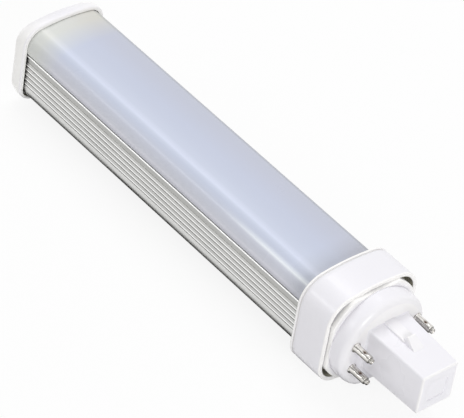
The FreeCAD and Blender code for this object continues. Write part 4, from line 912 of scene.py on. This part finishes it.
disc = flange_outline(0.0)
# painted highlight on the flange's rim
base_rings = [(FLANGE_REAR, flange_outline(FLANGE_BEVEL)), (FLANGE_REAR + FLANGE_BEVEL, disc),
              (COLLAR_FRONT - 0.3, disc), (COLLAR_FRONT, disc, 0.9),
              (FLANGE_FRONT - FLANGE_EDGE, disc, 0.9)]
base_rings += front_round(FLANGE_FRONT, FLANGE_EDGE, flange_outline, 4, 0.9)
base_rings += [(FLANGE_FRONT + ahead, flatted(radius, flat), light)
               for ahead, radius, flat, light in NECK_ROOT]
base_rings += [(FLANGE_FRONT + 0.9, flatted(NECK_RADIUS - 0.08, NECK_FLAT - 0.05)),
               (NECK_FRONT - NECK_EDGE - 0.4, flatted(NECK_RADIUS, NECK_FLAT))]
# painted highlight rising over the neck's front edge
base_rings += front_round(
    NECK_FRONT, NECK_EDGE,
    lambda inset: flatted(NECK_RADIUS - inset, NECK_FLAT - inset * FLAT_EDGE / NECK_EDGE),
    10, 0.35, rising=True)
base_rings += [(NECK_FRONT, flatted(share * FACE_RADIUS, share * FACE_FLAT))
               for share in (1.0, 0.8, 0.6, 0.4)]
base_vertices, base_faces, base_painted_light = swept(base_rings)
# painted light: the neck's face is painted lighter towards its top
base_painted_light = [
    max(light, min(0.7, place[2] / 12.0)) if place[0] > NECK_FRONT - 0.01 else light
    for light, place in zip(base_painted_light, base_vertices)
]


def rounded_box(half, low, high, radius, steps=6):
    """An upright rectangle about the middle plane with round corners."""
    return (arc(half - radius, high - radius, radius, 0.0, 90.0, steps)
            + arc(radius - half, high - radius, radius, 90.0, 180.0, steps)
            + arc(radius - half, low + radius, radius, 180.0, 270.0, steps)
            + arc(half - radius, low + radius, radius, 270.0, 360.0, steps))


def add_to_base(more_vertices, more_faces, more_light):
    """Add another closed form to the base."""
    start = len(base_vertices)
    base_vertices.extend(more_vertices)
    base_faces.extend(tuple(corner + start for corner in face) for face in more_faces)
    base_painted_light.extend(more_light)


POST_HALF, POST_ABOVE, POST_BELOW = 7.27, 8.12, 6.11
TAPER_SIDE, TAPER_ABOVE, POST_CORNER, POST_EDGE = 0.69, 0.84, 0.6, 0.4
POST_FILLET, POST_SUNK = 0.45, 0.5  # round at the root, and how far the post starts inside
# the sunk panel about its middle: depth, half width and corner
PANEL_MIDDLE, PANEL = 0.45, ((0.0, 3.75, 1.8), (0.10, 3.58, 1.63), (0.35, 3.45, 1.5))


def post_outline(station, inset=0.0):
    """The post's section at a station, drawn in by an inset."""
    share = (station - NECK_FRONT) / (POST_FRONT - NECK_FRONT)
    return rounded_box(POST_HALF - TAPER_SIDE * share - inset, inset - POST_BELOW,
                       POST_ABOVE - TAPER_ABOVE * share - inset, POST_CORNER)


# a small fillet at the root, the tapered sides, a round front edge and the sunk panel
post_rings = [(NECK_FRONT - POST_SUNK, post_outline(NECK_FRONT, -POST_FILLET))]
post_rings += rear_round(NECK_FRONT + 0.02, POST_FILLET,
                         lambda inset: post_outline(NECK_FRONT, -inset), 4)
post_rings += [(POST_FRONT - POST_EDGE - 0.3, post_outline(POST_FRONT - POST_EDGE - 0.3))]
# painted highlight on the post's front edge
post_rings += front_round(POST_FRONT, POST_EDGE,
                          lambda inset: post_outline(POST_FRONT, inset), 6, 0.6)
post_rings += [(POST_FRONT, post_outline(POST_FRONT, POST_EDGE + 0.35))]
post_rings += [(POST_FRONT - depth,
                rounded_box(half, PANEL_MIDDLE - half, PANEL_MIDDLE + half, corner))
               for depth, half, corner in PANEL]
add_to_base(*swept(post_rings))


def ridge_form(low_half, high_half, corners, way, face_level, fall, edge=0.18):
    """A rib or nose on the post: vertices, faces and painted light."""
    top = max(height for _, height, _ in corners)
    vertices, light = [], []
    for side, inner in ((-1, False), (-1, True), (1, True), (1, False)):
        for x, height, amount in corners:
            half = low_half + (high_half - low_half) * max(0.0, height) / top
            raised = height > 0.2
            reach = half - (edge if inner and raised else 0.0)
            level = height - (edge if raised and not inner else 0.0)
            vertices.append((NECK_FRONT + x, side * reach, face_level + way * (level - fall * x)))
            light.append(amount)
    count = len(corners)
    ends = [tuple(range(count)), tuple(range(3 * count, 4 * count))]
    return vertices, ends + bands(4, count), light


slope = TAPER_ABOVE / (POST_FRONT - NECK_FRONT)
RIB_HALF, NOSE_HALF = (2.05, 2.0), (1.95, 1.45)  # half widths at the foot and at the top
# from the neck's front, height above the post's face and painted light, a painted highlight along
# the top edges
RIB = ((-0.3, -0.8, 0.0), (8.6, -0.8, 0.0), (8.6, 0.55, 0.5), (8.3, 0.70, 0.5), (-0.3, 0.70, 0.0))
NOSE = ((7.9, -0.8, 0.0), (7.9, 0.8, 0.0), (8.62, 1.95, 0.4), (8.75, 2.15, 0.7), (8.95, 2.25, 0.7),
        (9.2, 2.2, 0.6), (9.45, 2.0, 0.4), (12.7, 0.12, 0.4), (12.95, 0.0, 0.0), (12.95, -0.8, 0.0))
for way, face_level, fall in ((1.0, POST_ABOVE, slope), (-1.0, -POST_BELOW, 0.0)):
    add_to_base(*ridge_form(*RIB_HALF, RIB, way, face_level, fall, 0.15))
    add_to_base(*ridge_form(*NOSE_HALF, NOSE, way, face_level, fall))
base_mesh = mesh_of(base_vertices, base_faces, painted_light_and_punch=base_painted_light)
new_piece("white_base", base_mesh, glossy_white, "white_plastic", "base")


# ---------------------------------------------------------------------------
# Contact pins.  Turned and nickel-plated: a flange against the neck, a body
# crimped half way along, and a tapered shoulder with a small nub at the tip.
# ---------------------------------------------------------------------------
PIN_RADIUS, PIN_SPACING, PIN_RISE = 1.2, 23.0, 8.0
PIN_PROFILE = (
    (-1.9, 1.16), (0.0, 1.2), (0.0, 1.50), (0.08, 1.58), (0.34, 1.58), (0.44, 1.50), (0.56, 1.27),
    (0.9, 1.2), (1.8, 1.2), (2.5, 1.2), (2.9, 1.2), (3.2, 1.2), (3.5, 1.2), (3.8, 1.2), (4.1, 1.2),
    (4.5, 1.2), (5.0, 1.2), (5.75, 1.2), (5.92, 1.17), (6.06, 1.08), (6.14, 0.96), (6.17, 0.85),
    (6.80, 0.85), (6.93, 0.80), (7.03, 0.68), (7.06, 0.50), (6.85, 0.42),
)
DIMPLE_AT, DIMPLE_REACH, DIMPLE_ACROSS, DIMPLE_DEPTH = 3.55, 0.62, 0.60, 0.50
PIN_SIDES = 48
# painted reflections: dark lines along each pin and a broader one low on its side, as turn and
# reach in degrees and strength
PIN_PAINTED_REFLECTIONS = ((130.0, 8.0, 0.95), (195.0, 18.0, 1.0), (42.0, 13.0, 0.65))
pin_rings, pin_punch_and_painted_dark = [], []
for station, radius in PIN_PROFILE:
    outline = []
    for side in range(PIN_SIDES):
        turn = 2 * math.pi * side / PIN_SIDES
        # the punch goes in from above
        off_top = (turn - math.pi / 2 + math.pi) % (2 * math.pi) - math.pi
        nearness = (((station - DIMPLE_AT) / DIMPLE_REACH) ** 2
                    + (off_top * PIN_RADIUS / DIMPLE_ACROSS) ** 2)
        sunk = radius - DIMPLE_DEPTH * math.exp(-nearness)
        outline.append((sunk * math.cos(turn), sunk * math.sin(turn)))
        # the punch mark is coloured dark brown, on the body only
        punch = min(1.0, 1.4 * math.exp(-nearness * 1.2)) if 1.0 < station < 6.0 else 0.0
        line = sum(strength * math.exp(-((math.degrees(turn) - at) / reach) ** 2)
                   for at, reach, strength in PIN_PAINTED_REFLECTIONS)
        # painted shade in the step before the thin tip
        line = max(line, 0.6 if 6.1 < station < 6.3 else 0.0)
        pin_punch_and_painted_dark.append(punch if punch > 0.2 else -min(1.0, line))
    pin_rings.append((NECK_FRONT + station, outline))
pin_vertices, pin_faces, _ = swept(pin_rings)
pin_shape = mesh_of(pin_vertices, pin_faces, crease=40.0, painted_light_and_punch=pin_punch_and_painted_dark)

nickel = new_material("pin nickel", (0.72, 0.69, 0.66), 0.12, 1.0)
texture = placed_group(nickel, die_lines, Fineness=1500.0, Stretch=0.05)
plating = ramp(nickel, texture["Lines"], (
    (0.0, (0.40, 0.38, 0.35)), (0.42, (0.56, 0.54, 0.51)), (0.52, (0.84, 0.82, 0.79)),
    (1.0, (0.95, 0.94, 0.92)),
))
# the punch mark is coloured dark brown; the painted reflections and painted shade are near black
feed(nickel, "Base Color",
     tint_by_painted_light(nickel, plating, (0.10, 0.055, 0.035), (0.07, 0.07, 0.06)))
feed(nickel, "Roughness", spread(nickel, texture["Cloud"], 0.08, 0.16))
pins_mesh = copied(pin_shape, nickel, (0.0, -PIN_SPACING / 2, -PIN_RISE / 2),
                   (2, (0.0, PIN_SPACING, 0.0)), (2, (0.0, 0.0, PIN_RISE)))
new_piece("plated_pins", pins_mesh, nickel, "pin_nickel",
          "contact_pin_1", "contact_pin_2", "contact_pin_3", "contact_pin_4")
